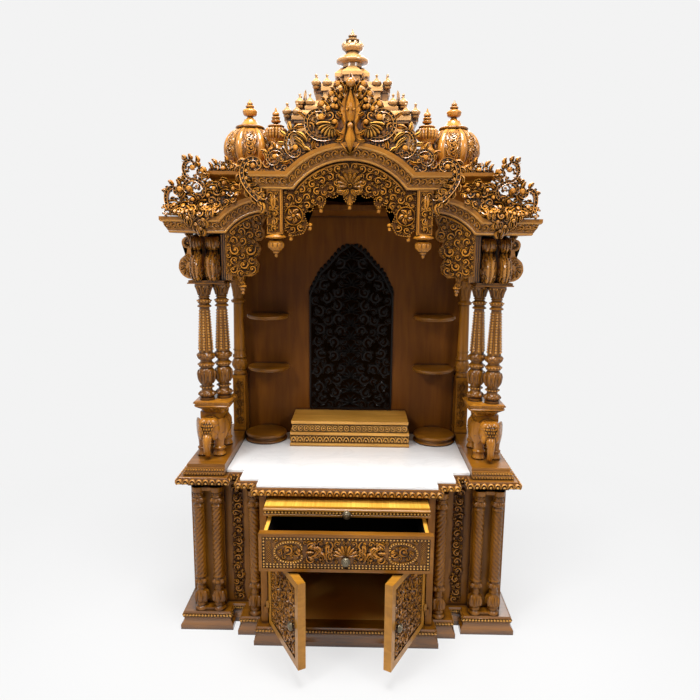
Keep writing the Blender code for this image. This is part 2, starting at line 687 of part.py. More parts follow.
def twin_columns():
    """Two turned columns under one abacus."""
    rows = ((0.91, 0.0), (0.91, 0.025), (0.73, 0.037), (0.98, 0.065), (0.66, 0.107), (0.73, 0.139),
            (0.97, 0.205), (1.0, 0.252), (0.76, 0.287), (0.91, 0.303), (0.91, 0.328), (0.73, 0.344),
            (0.94, 0.381), (0.94, 0.406), (0.82, 0.422), (0.64, 0.805), (0.85, 0.824), (0.85, 0.844),
            (0.61, 0.861), (0.73, 0.908), (1.09, 0.975), (1.09, 1.0))
    profile = shares(rows, COLUMN_RADIUS, CONSOLE_TOP, COLUMN_HEIGHT - ABACUS_THICK / 2)
    x0, y0, x1, y1 = ABACUS_PLAN
    abacus = block((x0, y0, ABACUS_TOP - ABACUS_THICK), (x1, y1, ABACUS_TOP))
    return combined([abacus] + [turned(profile, x, y, 9) for x, y in (COLUMN_OUTER, COLUMN_INNER)])


def bracket_outline(root, reach, low, high):
    """Scroll bracket as (u, z) points: a large scroll at its foot and a small one under its top."""
    tall = high - low
    big = 0.27 * tall
    small = 0.15 * tall
    outline = [(root, low + big)]
    outline += arc(root + reach - big, low + big, big, -0.70 * pi, 0.42 * pi, 7)
    outline.append((root + 0.50 * reach, low + 0.62 * tall))
    outline += arc(root + reach - small, high - small, small, -0.55 * pi, 0.5 * pi, 5)
    outline.append((root, high))
    return outline


def capital():
    """Block over the abacus with two scroll brackets to the front and one to the side."""
    low, high = ABACUS_TOP + SEAT, CORNICE_FOOT - SEAT
    x0, y0, x1, y1 = CAPITAL_PLAN
    core = block((x0, y0, low), (x1, y1, high))
    foot = low + 0.006
    front = [(-u, z) for u, z in bracket_outline(-y0 - LAP, FRONT_BRACKET_REACH, foot, high)]
    brackets = [side_solid(front, x - half, x + half) for x, half in FRONT_BRACKETS]
    outer = front_solid(bracket_outline(x1 - LAP, SIDE_BRACKET_REACH, foot, high),
                        SIDE_BRACKET_Y - SIDE_BRACKET_HALF, SIDE_BRACKET_Y + SIDE_BRACKET_HALF)
    return combined([core] + brackets + [outer])


def rear_column():
    """Column against the back wall, on its carved block."""
    x, y = REAR_COLUMN
    wall = WALL_FRONT - SEAT
    front = y - REAR_BLOCK_HALF - 0.010
    low = SIDE_PLINTH_TOP + SEAT
    block_top = SIDE_PLINTH_TOP + REAR_BLOCK_HEIGHT
    foot = block((x - REAR_BLOCK_HALF, front, low), (x + REAR_BLOCK_HALF, wall, block_top))
    rows = ((0.87, 0.0), (0.87, 0.04), (0.67, 0.055), (0.93, 0.115), (0.70, 0.18), (0.87, 0.20), (0.73, 0.22),
            (0.63, 0.755), (0.87, 0.777), (0.63, 0.80), (1.0, 0.955), (1.0, 1.0))
    post_top = ABACUS_TOP - ABACUS_THICK
    post = shares(rows, REAR_COLUMN_RADIUS, block_top - LAP, post_top - block_top + LAP)
    top = block((x - REAR_BLOCK_HALF, front, post_top - LAP),
                (x + REAR_BLOCK_HALF, wall, CORNICE_FOOT - SEAT))
    return combined([foot, turned(post, x, y, 8), top])


def side_pavilion():
    """Side plinth, elephant, columns and capital of one side, then mirrored."""
    def plan(out):
        return [(SIDE_PLINTH_IN, SIDE_PLINTH_FRONT - out), (SIDE_PLINTH_OUT + out, SIDE_PLINTH_FRONT - out),
                (SIDE_PLINTH_OUT + out, BACK), (SIDE_PLINTH_IN, BACK)]

    low, tall = COUNTER_TOP + SEAT, SIDE_PLINTH_HEIGHT
    profile = [(0.0, low), (0.0, low + 0.29 * tall), (-0.005, low + 0.36 * tall), (-0.005, low + 0.64 * tall),
               (-0.012, low + 0.71 * tall), (-0.012, SIDE_PLINTH_TOP)]
    pair("side_plinth", stepped_slab(plan, profile), DARK_TEAK)
    pair("elephant", elephant())
    pair("twin_columns", twin_columns())
    pair("capital", capital())
    pair("rear_column", rear_column())


def round_shelf(rim, x, wall, height, steps=11):
    """Round-fronted shelf against the wall; its circle reaches 0.6 of a radius beyond its middle."""
    loops = []
    for radius, z in rim:
        angles = [pi + pi * i / steps for i in range(steps + 1)]
        middle = wall - 0.6 * SHELF_RADIUS
        front = [(x + radius * cos(a), middle + radius * sin(a), height + z) for a in angles]
        loops.append(front + [(x + radius, wall, height + z), (x - radius, wall, height + z)])
    return tube_of_loops(loops)


def shrine_back():
    """Back wall, black screen, pedestal and round shelves."""
    inner = SIDE_PLINTH_IN - SEAT
    upper_half = BEAM_IN - SEAT
    walls = [block((-inner, WALL_FRONT, COUNTER_TOP + SEAT), (inner, BACK, SIDE_PLINTH_TOP + LAP)),
             block((-WALL_HALF, WALL_FRONT, SIDE_PLINTH_TOP + SEAT), (WALL_HALF, BACK, CORNICE_FOOT - SEAT)),
             block((-upper_half, WALL_FRONT, CORNICE_FOOT - LAP), (upper_half, BACK, ceiling_foot() - SEAT))]
    place("back_wall", combined(walls), DARK_TEAK)

    face = WALL_FRONT - SEAT
    foot = MARBLE_TOP + PEDESTAL_HEIGHT + LAP
    rows = ((0.0, 1.0), (0.30, 0.95), (0.55, 0.875), (0.75, 0.825), (1.0, 0.70), (1.0, 0.0), (0.0, 0.0))
    screen = both_halves([(SCREEN_HALF * x, foot + SCREEN_HEIGHT * z) for x, z in rows])
    place("back_screen", front_solid(screen, face - SCREEN_THICK, face), BLACK, 0.3)

    low, step, top = MARBLE_TOP + SEAT, MARBLE_TOP + PEDESTAL_STEP, MARBLE_TOP + PEDESTAL_HEIGHT
    profile = [(0.0, low), (0.0, low + 0.012), (-0.006, low + 0.016), (-0.006, step - 0.016),
               (-0.001, step - 0.012), (-0.001, step), (-0.014, step + 0.002), (-0.014, top - 0.018),
               (-0.006, top - 0.012), (-0.006, top)]
    plan = against_wall(-PEDESTAL_HALF, PEDESTAL_HALF, PEDESTAL_FRONT, face)
    place("pedestal", stepped_slab(plan, profile))

    rim = ((0.88, 0.0), (0.96, 0.35), (1.0, 0.55), (1.0, 1.0))
    for lift, label in zip(SHELF_LIFTS, ("lower", "upper")):
        pair(f"wall_shelf_{label}",
             round_shelf(shares(rim, SHELF_RADIUS, 0.0, SHELF_THICK), SHELF_X, face, MARBLE_TOP + lift))
    stand = shares(rim, SHELF_RADIUS, MARBLE_TOP + SEAT, STAND_HEIGHT)
    pair("round_stand", turned(stand, STAND_X, face - SHELF_RADIUS - 0.002, 16))


def cornice_profile():
    """Section of a cornice: a wall part behind its line, and a cyma that spreads up to its top."""
    tall, reach = CORNICE_HEIGHT, CORNICE_REACH
    return [(-CORNICE_WALL, 0.0), (0.0, 0.0), (0.09 * reach, 0.13 * tall), (0.22 * reach, 0.20 * tall),
            (0.40 * reach, 0.50 * tall), (0.80 * reach, 0.73 * tall), (reach, 0.80 * tall), (reach, tall),
            (-CORNICE_WALL, tall)]


def side_arch():
    return (SIDE_ARCH_FOOT, SIDE_ARCH_CROWN, CORNICE_FOOT, SIDE_ARCH_RISE)


def portico_arch():
    return (PORTICO_ARCH_FOOT, 0.0, PORTICO_FOOT, PORTICO_ARCH_RISE)


def ceiling_foot():
    """Underside of the ceiling, on the side beams."""
    return CORNICE_FOOT + CORNICE_HEIGHT + CEILING_LIFT


def side_cornice():
    """Right-hand cornice: along the side, round the corner and over the arch, and the beam behind it."""
    section = cornice_profile()
    x, y = SIDE_LINE
    loops = [level_section(section, x, BACK, CORNICE_FOOT, (1, 0)),
             level_section(section, x, y, CORNICE_FOOT, (1, -1))]
    loops += [arch_section(section, y, side_arch(), i / ARCH_STEPS) for i in range(ARCH_STEPS + 1)]
    beam = block((BEAM_IN, y + CORNICE_WALL - LAP, CORNICE_FOOT),
                 (x - CORNICE_WALL + LAP, BACK, ceiling_foot() - SEAT))
    return combined([tube_of_loops(loops), beam])


def portico_cornice():
    """Arched cornice of the portico with the vault and the end board behind it."""
    section = cornice_profile()
    x, y = PORTICO_LINE
    back = ATTIC_FRONT - SEAT
    right = [level_section(section, x, back, PORTICO_FOOT, (1, 0)),
             level_section(section, x, y, PORTICO_FOOT, (1, -1))]
    right += [arch_section(section, y, portico_arch(), i / ARCH_STEPS) for i in range(ARCH_STEPS + 1)]
    left = [[(-px, py, pz) for px, py, pz in loop] for loop in reversed(right[:-1])]

    lid = x - CORNICE_WALL + LAP
    above, below = VAULT_LOW + VAULT_THICK, VAULT_LOW
    outer = [(lid, PORTICO_FOOT + above)] + arch_line(portico_arch(), above)
    inner = [(lid, PORTICO_FOOT + below)] + arch_line(portico_arch(), below)
    mirror = [(-px, pz) for px, pz in reversed(outer[:-1])]
    mirror_inner = [(-px, pz) for px, pz in inner[:-1]]
    vault = front_solid(outer + mirror + mirror_inner + list(reversed(inner)), y + CORNICE_WALL - LAP, back)
    middle = VAULT_LOW + VAULT_THICK / 2
    board = arch_line(portico_arch(), middle)
    board += [(-px, pz) for px, pz in reversed(board[:-1])]
    end_board = front_solid(board, back - 0.012, back)
    return combined([tube_of_loops(right + left), vault, end_board])


def hanging_post():
    """Square post that hangs from the portico, with a plate, a ball and a tip turned below it."""
    y = PORTICO_LINE[1]
    foot = PORTICO_FOOT - POST_HEIGHT
    middle_x, middle_y = (POST_IN + POST_OUT) / 2, y + POST_DEPTH / 2
    radius = (POST_OUT - POST_IN) / 2 + 0.010
    rows = ((0.08, 0.0), (0.26, 0.20), (0.63, 0.34), (0.74, 0.54), (0.37, 0.75), (1.0, 0.82), (1.0, 0.95),
            (0.74, 1.0))
    drop = shares(rows, radius, foot - POST_DROP, POST_DROP)
    shaft = block((POST_IN, y, foot - LAP), (POST_OUT, y + POST_DEPTH, PORTICO_FOOT - SEAT))
    return combined([shaft, turned(drop, middle_x, middle_y, 12)])


def centre_valance():
    """Scalloped board that hangs in the portico's arch."""
    side = POST_IN - SEAT
    top = [(x, z - 2 * SEAT) for x, z in arch_line(portico_arch(), 0.0)]
    lobes = ((0.814, 0.719, 0.186), (0.603, 0.383, 0.058), (0.430, 0.252, 0.070), (0.248, 0.036, 0.091),
             (0.0, 0.150, 0.091))
    circles = [(POST_IN * u, PORTICO_FOOT - VALANCE_DROP * down, POST_IN * r) for u, down, r in lobes]
    start_low = (side, PORTICO_FOOT - 0.85 * VALANCE_DROP)
    edge = scalloped(circles, start_low, (0.0, PORTICO_FOOT - VALANCE_DROP))
    right = list(reversed(top)) + [(side, PORTICO_FOOT - SEAT), start_low] + edge
    return both_halves(right)


def side_valance():
    """Lobed board in a side arch, with a drop under it."""
    outer = BEAM_IN - 6 * SEAT
    inner = SIDE_ARCH_CROWN
    width = outer - inner
    top = [(x, z - 2 * SEAT) for x, z in arch_line(side_arch(), 0.0)]
    lobes = ((0.826, 0.686, 0.134), (0.644, 0.931, 0.085), (0.474, 0.598, 0.255), (0.376, 0.289, 0.206),
             (0.255, -0.005, 0.182))
    circles = [(inner + width * u, CORNICE_FOOT - SIDE_VALANCE_DROP * down, width * r)
               for u, down, r in lobes]
    start_low = (outer, CORNICE_FOOT - 0.77 * SIDE_VALANCE_DROP)
    edge = scalloped(circles, start_low,
                     (inner + 0.04 * width, CORNICE_FOOT + 0.26 * SIDE_VALANCE_DROP))
    return [(outer, CORNICE_FOOT - SEAT)] + [start_low] + edge + list(reversed(top))


def canopy():
    """Side cornices, portico, valances, hanging posts, attic and deck."""
    pair("side_cornice", side_cornice())
    place("portico_cornice", portico_cornice())
    pair("hanging_post", hanging_post())
    front = PORTICO_LINE[1] + 0.012
    place("centre_valance", front_solid(centre_valance(), front, front + VALANCE_THICK))
    front = SIDE_LINE[1] + 0.006
    pair("side_valance", front_solid(side_valance(), front, front + VALANCE_THICK))

    ceiling_front = SIDE_LINE[1] + CORNICE_WALL + SEAT
    ceiling_top = ceiling_foot() + CEILING_THICK
    ceiling = block((-CEILING_HALF, ceiling_front, ceiling_foot()), (CEILING_HALF, BACK, ceiling_top))
    upper = block((-ATTIC_HALF, ATTIC_FRONT, ceiling_top - LAP), (ATTIC_HALF, BACK, DECK_FOOT - SEAT))
    place("attic", combined([ceiling, upper]), DARK_TEAK)
    deck = ((-0.020, 0.0), (-0.016, 0.26), (-0.002, 0.58), (0.0, 0.68), (0.0, 1.0))
    place("roof_deck", stepped_slab(deck_plan, [(out, DECK_FOOT + DECK_THICK * up) for out, up in deck]))


def deck_plan(out):
    """Plan of the roof deck: its front steps back behind the portico."""
    notch = PORTICO_LINE[0] + CORNICE_REACH + SEAT
    front = ATTIC_FRONT - DECK_OVERHANG
    right = [(notch, ATTIC_FRONT), (notch, front - out), (DECK_HALF + out, front - out),
             (DECK_HALF + out, BACK)]
    return right + [(-x, y) for x, y in reversed(right)]


def tier_plan(half, deep):
    """Plan of a tier of the spire: a rectangle with a square notch in each corner."""
    a, b, c = half, deep, TIER_CORNER
    quarter = [(a, b - c), (a - c, b - c), (a - c, b)]
    front = [(x, SPIRE_Y - y) for x, y in reversed(quarter)] + [(x, SPIRE_Y + y) for x, y in quarter]
    return front + [(-x, y) for x, y in reversed(front)]


def spire():
    """Stepped roof: each tier has an upright body, a plain edge and a sloping top."""
    rows = []
    foot = level = DECK_TOP + SEAT
    for half, deep, rise in TIERS:
        level += rise
        rows += [(half - TIER_INSET, deep - TIER_INSET, foot), (half - TIER_INSET, deep - TIER_INSET, level),
                 (half, deep, level), (half, deep, level + TIER_EDGE)]
        foot = level + TIER_EDGE + TIER_SLOPE
        rows.append((half - TIER_SLOPE, deep - TIER_SLOPE, foot))
    shape = tube_of_loops([[(x, y, z) for x, y in tier_plan(half, deep)] for half, deep, z in rows])
    return shape, foot


def crest_outline():
    """Right half of the front crest: scrolls that fall from the middle bud and over the cornice's end."""
    foot_z = PORTICO_FOOT + CORNICE_HEIGHT
    end = PORTICO_LINE[0] + CORNICE_REACH
    lobes = ((0.0, 0.931, 0.069), (0.131, 0.885, 0.051), (0.197, 0.810, 0.048), (0.269, 0.704, 0.051),
             (0.350, 0.514, 0.109), (0.494, 0.423, 0.054), (0.594, 0.296, 0.109), (0.800, 0.115, 0.085),
             (1.006, 0.048, 0.103), (1.056, -0.091, 0.060), (1.031, -0.224, 0.048))
    circles = [(end * u, foot_z + CREST_HEIGHT * up, CREST_HEIGHT * r) for u, up, r in lobes]
    tip = (end + SEAT, foot_z - 0.30 * CREST_HEIGHT)
    edge = scalloped(circles, (0.0, foot_z + CREST_HEIGHT), tip)
    under = [(x, z + SEAT) for x, z in arch_line(portico_arch(), CORNICE_HEIGHT)]
    return edge + [tip, (end + SEAT, foot_z + SEAT)] + under


def corner_crest_outline():
    """Right-hand corner crest: scrolls that climb from the side arch to a ball, then fall to the corner."""
    foot_z = CORNICE_FOOT + CORNICE_HEIGHT
    corner = SIDE_LINE[0] + CORNICE_REACH
    lobes = ((0.910, 0.428, 0.113), (0.737, 0.477, 0.122), (0.560, 0.635, 0.117), (0.417, 0.770, 0.090),
             (0.310, 0.937, 0.063), (0.243, 0.491, 0.117), (0.137, 0.396, 0.126), (0.097, 0.171, 0.099))
    circles = [(corner - CORNER_CREST_WIDTH * u, foot_z + CORNER_CREST_HEIGHT * up, CORNER_CREST_HEIGHT * r)
               for u, up, r in lobes]
    under = [(x, z + SEAT) for x, z in arch_line(side_arch(), CORNICE_HEIGHT, 0.5, 4)]
    end = (corner - 0.013, foot_z + SEAT)
    return scalloped(circles, under[-1], end) + [end] + under


def roof():
    """Stepped spire, finial, domes and crests."""
    shape, top = spire()
    place("spire", shape)
    tip = ((0.60, 0.0), (0.60, 0.12), (0.97, 0.16), (1.0, 0.21), (0.75, 0.29), (0.41, 0.38), (0.38, 0.42),
           (0.62, 0.50), (0.64, 0.57), (0.47, 0.63), (0.22, 0.67), (0.37, 0.73), (0.19, 0.78), (0.25, 0.85),
           (0.06, 1.0))
    place("top_finial", turned(shares(tip, FINIAL_RADIUS, top + SEAT, FINIAL_HEIGHT), 0, SPIRE_Y, 12))

    low = DECK_TOP + SEAT
    swell = [(cos(a), 0.345 + 0.31 * sin(a)) for a in (-0.45 + 1.50 * i / 5 for i in range(6))]
    dome = [(0.83, 0.0), (0.85, 0.085), (0.74, 0.105), (0.82, 0.165), *swell, (0.52, 0.632), (0.52, 0.652),
            (0.24, 0.735), (0.12, 0.775), (0.27, 0.830), (0.25, 0.865), (0.10, 0.895), (0.14, 0.925),
            (0.03, 1.0)]
    pair("side_dome", turned(shares(dome, DOME_RADIUS, low, DOME_HEIGHT), DOME_X, DOME_Y, 14))

    ribs = (0.10, 0.0)
    ribbed = ((0.75, 0.0), (0.75, 0.325), (0.80, 0.35), (0.55, 0.405), (0.60, 0.50), (0.80, 0.53, *ribs),
              (1.0, 0.58, *ribs), (1.0, 0.66, *ribs), (0.72, 0.715, *ribs), (0.60, 0.735), (0.20, 0.770),
              (0.35, 0.850), (0.15, 0.910), (0.25, 0.945), (0.07, 1.0))
    profile = shares(ribbed, AMALAKA_RADIUS, low, AMALAKA_HEIGHT)
    pair("ribbed_finial", turned(profile, AMALAKA_X, AMALAKA_Y, 12))

    front = PORTICO_LINE[1] - CORNICE_REACH + CREST_SETBACK
    place("centre_crest", front_solid(both_halves(crest_outline()), front, front + CREST_THICK))
    front = SIDE_LINE[1] - CORNICE_REACH + CREST_SETBACK
    pair("corner_crest", front_solid(corner_crest_outline(), front, front + CREST_THICK))


def main():
    start()
    base()
    base_columns()
    tray()
    drawer()
    doors()
    side_pavilion()
    shrine_back()
    canopy()
    roof()


main()
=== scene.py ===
"""Finish and carving of a carved wooden home shrine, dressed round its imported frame.

Metres, +Z up, the front faces -Y. Right-hand pieces are made once and mirrored for the left.
Carving is drawn flat, as ridges, leaves and beads in (along, up, proud), and is then laid on the wood.
"""

import json
from math import cos, hypot, pi, radians, sin

import bpy
import numpy as np
from mathutils import Matrix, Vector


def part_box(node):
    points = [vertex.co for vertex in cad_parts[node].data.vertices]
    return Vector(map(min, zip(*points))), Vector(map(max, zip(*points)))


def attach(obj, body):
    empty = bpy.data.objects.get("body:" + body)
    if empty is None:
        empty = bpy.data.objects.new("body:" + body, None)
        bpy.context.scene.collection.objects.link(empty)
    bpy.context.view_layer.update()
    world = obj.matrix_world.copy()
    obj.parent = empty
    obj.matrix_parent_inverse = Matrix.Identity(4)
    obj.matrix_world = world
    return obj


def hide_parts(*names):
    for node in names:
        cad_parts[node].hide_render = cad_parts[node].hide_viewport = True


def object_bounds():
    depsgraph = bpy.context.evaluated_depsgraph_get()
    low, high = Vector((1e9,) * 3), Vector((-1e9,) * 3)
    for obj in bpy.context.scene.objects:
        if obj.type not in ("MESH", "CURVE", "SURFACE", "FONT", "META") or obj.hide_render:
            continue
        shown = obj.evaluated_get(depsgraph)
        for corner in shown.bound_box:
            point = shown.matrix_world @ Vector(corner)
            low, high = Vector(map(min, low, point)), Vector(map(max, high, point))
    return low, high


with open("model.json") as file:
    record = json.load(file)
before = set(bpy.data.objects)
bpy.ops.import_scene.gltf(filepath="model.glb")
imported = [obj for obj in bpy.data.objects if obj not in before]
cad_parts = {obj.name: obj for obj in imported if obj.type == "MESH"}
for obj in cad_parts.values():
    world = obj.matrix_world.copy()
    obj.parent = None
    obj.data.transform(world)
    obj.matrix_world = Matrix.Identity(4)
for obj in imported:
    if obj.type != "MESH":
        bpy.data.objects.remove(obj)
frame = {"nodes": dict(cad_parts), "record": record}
cad_low, cad_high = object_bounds()

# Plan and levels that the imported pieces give
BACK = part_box("attic")[1].y
PLINTH_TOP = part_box("base_plinth")[1].z
COUNTER_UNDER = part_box("counter_top")[0].z
WING_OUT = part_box("counter_top")[1].x
CENTRE_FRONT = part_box("counter_top")[0].y
SIDE_PLINTH_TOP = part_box("side_plinth_right")[1].z
CONSOLE_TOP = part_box("elephant_right")[1].z
ABACUS_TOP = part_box("twin_columns_right")[1].z
CORNICE_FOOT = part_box("side_cornice_right")[0].z
PORTICO_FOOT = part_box("portico_cornice")[0].z
DECK_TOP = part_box("roof_deck")[1].z

# Plan of the counter's edge, right half
CENTRE_HALF = 0.361
PIER_OUT, PIER_FRONT = 0.438, -0.28
BAY_FRONT = -0.19
WING_IN, WING_FRONT = 0.486, -0.25
BODY_INSET, BAY_INSET = 0.06, 0.022

# Cornices: their line is where the wall part ends and the moulding begins
CORNICE_HEIGHT = 0.06
CORNICE_REACH = 0.03
SIDE_LINE = (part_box("side_cornice_right")[1].x - CORNICE_REACH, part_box("side_cornice_right")[0].y
             + CORNICE_REACH)
PORTICO_LINE = (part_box("portico_cornice")[1].x - CORNICE_REACH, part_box("portico_cornice")[0].y
                + CORNICE_REACH)
SIDE_ARCH = (0.469, 0.31, CORNICE_FOOT, 0.08)
PORTICO_ARCH = (0.202, 0.0, PORTICO_FOOT, 0.1)

DRAWER_WALL = 0.014
DOOR_OPEN = 62.0
HINGE = (0.319, -0.324)
CRUST = 0.0003           # how far carving starts behind the wood's face
SEAM = 0.0003            # gap between pieces that stand on each other
GROUND = (-0.001, 0.0004)  # back and face of the thin ground behind carving, dark with painted shade
ABACUS = 0.014
TRAY_STRIP = 0.0225      # depth of the tray's solid front edge

BACKDROP = (0.896, 0.896, 0.896)
CAMERA_PLACE = (0.04, -2.53, 1.6)
CAMERA_TURN = 0.89
CAMERA_PITCH = 80.0
CAMERA_ROLL = 0.5
CAMERA_LENS = 30.857


class Wire:
    """Output of a shader node, which takes part in Python expressions."""

    def __init__(self, finish, socket):
        self.finish = finish
        self.socket = socket

    def maths(self, operation, first, second):
        return self.finish.node("ShaderNodeMath", {"operation": operation}, {0: first, 1: second})

    def __add__(self, other):
        return self.maths("ADD", self, other)

    __radd__ = __add__

    def __sub__(self, other):
        return self.maths("SUBTRACT", self, other)

    def __rsub__(self, other):
        return self.maths("SUBTRACT", other, self)

    def __mul__(self, other):
        return self.maths("MULTIPLY", self, other)

    __rmul__ = __mul__

    def __pow__(self, other):
        return self.maths("POWER", self, other)

    def __gt__(self, other):
        return self.maths("GREATER_THAN", self, other)

    def __lt__(self, other):
        return self.maths("LESS_THAN", self, other)

    def __abs__(self):
        return self.maths("ABSOLUTE", self, 0.0)


class Nodes:
    """Node tree of a material or of the world."""

    def __init__(self, tree):
        self.tree = tree

    def feed(self, socket, value):
        if isinstance(value, Wire):
            self.tree.links.new(value.socket, socket)
        elif isinstance(value, (tuple, list)) and len(value) == 3 and socket.type == "RGBA":
            socket.default_value = (*value, 1.0)
        else:
            socket.default_value = value

    def node(self, kind, settings=None, links=None, output=0):
        """Any node: its settings come first, then what its sockets are given."""
        made = self.tree.nodes.new(kind)
        for label, value in (settings or {}).items():
            setattr(made, label, value)
        for label, value in (links or {}).items():
            self.feed(made.inputs[label], value)
        return Wire(self, made.outputs[output]) if len(made.outputs) else None

    def seen(self):
        """One for rays that show this surface in the picture, straight, mirrored or through glass."""
        rays = [self.node("ShaderNodeLightPath", output=label)
                for label in ("Is Camera Ray", "Is Glossy Ray", "Is Transmission Ray")]
        return rays[0].maths("MAXIMUM", rays[0], rays[1].maths("MAXIMUM", rays[1], rays[2]))


FINISHES = {}


class Finish(Nodes):
    """Material of one kind of surface, kept in FINISHES by its name."""

    def __init__(self, name, **constants):
        FINISHES[name] = self
        self.material = bpy.data.materials.new(name)
        self.material.use_nodes = True
        super().__init__(self.material.node_tree)
        self.shader = self.tree.nodes["Principled BSDF"]
        for label, value in constants.items():
            self.shader.inputs[label.replace("_", " ").title().replace("Ior", "IOR")].default_value = value

    def mix(self, share, low, high):
        """Colour between two colours."""
        return self.node("ShaderNodeMix", {"data_type": "RGBA"}, {0: share, 6: low, 7: high}, 2)

    def span(self, value, low, high, to_low=0.0, to_high=1.0):
        """Value between two limits, spread over another span."""
        return self.node("ShaderNodeMapRange", {"clamp": True}, {"Value": value, "From Min": low,
                "From Max": high, "To Min": to_low, "To Max": to_high})

    def noise(self, scale, stretch=(1, 1, 1), detail=2.0, distortion=0.0):
        """Noise in the piece's own space, drawn out along an axis by a small stretch value."""
        place = self.node("ShaderNodeTexCoord", output="Object")
        place = self.node("ShaderNodeVectorMath", {"operation": "MULTIPLY"}, {0: place, 1: stretch})
        return self.node("ShaderNodeTexNoise", {}, {"Vector": place, "Scale": scale, "Detail": detail,
                "Distortion": distortion})

    def hollow(self, reach, samples=10):
        """Nought in recesses, one on open surfaces."""
        seen = self.node("ShaderNodeAmbientOcclusion", {"samples": samples}, {"Distance": reach}, "AO")
        return self.span(seen, 0.3, 0.92)

    def height(self, label):
        """One coordinate of the surface, in the piece's own space."""
        place = self.node("ShaderNodeTexCoord", output="Object")
        return self.node("ShaderNodeSeparateXYZ", {}, {0: place}, label)

    def bump(self, value, strength, distance):
        made = self.node("ShaderNodeBump", {}, {"Strength": strength, "Distance": distance, "Height": value})
        self.feed(self.shader.inputs["Normal"], made)

    def set(self, label, value):
        self.feed(self.shader.inputs[label], value)


ALONG = {"x": (0.1, 1, 1), "y": (1, 0.1, 1), "z": (1, 1, 0.1)}
# colour of the painted shade in the wood's hollows
RECESS_SHADE = (0.022, 0.0065, 0.0012)


def wood(name, low, high, along="z", rough=0.26, recess_shade=RECESS_SHADE, reach=0.016, shade_depth=1.6, gloss=0.1,
         sheen=0.16):
    """Polished wood: streaky grain, painted shade in its recesses, glossy on its high parts."""
    finish = Finish(name, coat_weight=gloss, coat_roughness=0.1, specular_ior_level=sheen)
    stretch = ALONG[along]
    streak = finish.noise(46.0, stretch, 4.0, 0.6)
    broad = finish.noise(5.0, (1, 1, 1), 1.0)
    pores = finish.noise(520.0, tuple(s * s for s in stretch), 1.0)
    tone = finish.span(streak * 0.7 + broad * 0.5, 0.4, 0.82)
    colour = finish.mix(tone, low, high)
    # painted shade: the colour darkens towards the shade colour in hollows that ambient occlusion finds
    open_wood = finish.hollow(reach)
    finish.colour = finish.mix(open_wood ** shade_depth, recess_shade, colour)
    finish.set("Base Color", finish.colour)
    finish.set("Roughness", rough + 0.26 * (1 - open_wood) + 0.1 * (1 - streak))
    finish.bump(pores + streak * 0.6, 0.22, 0.0005)
    return finish


def veneer_colour(finish):
    """Yellow straight-grained veneer whose grain runs from front to back."""
    lines = finish.noise(150.0, (1, 0.02, 1), 3.0, 0.2)
    wide = finish.noise(14.0, (1, 0.05, 1), 1.0)
    return finish.mix(finish.span(lines * 0.7 + wide * 0.5, 0.42, 0.8), (0.62, 0.27, 0.026),
                      (0.94, 0.53, 0.085))


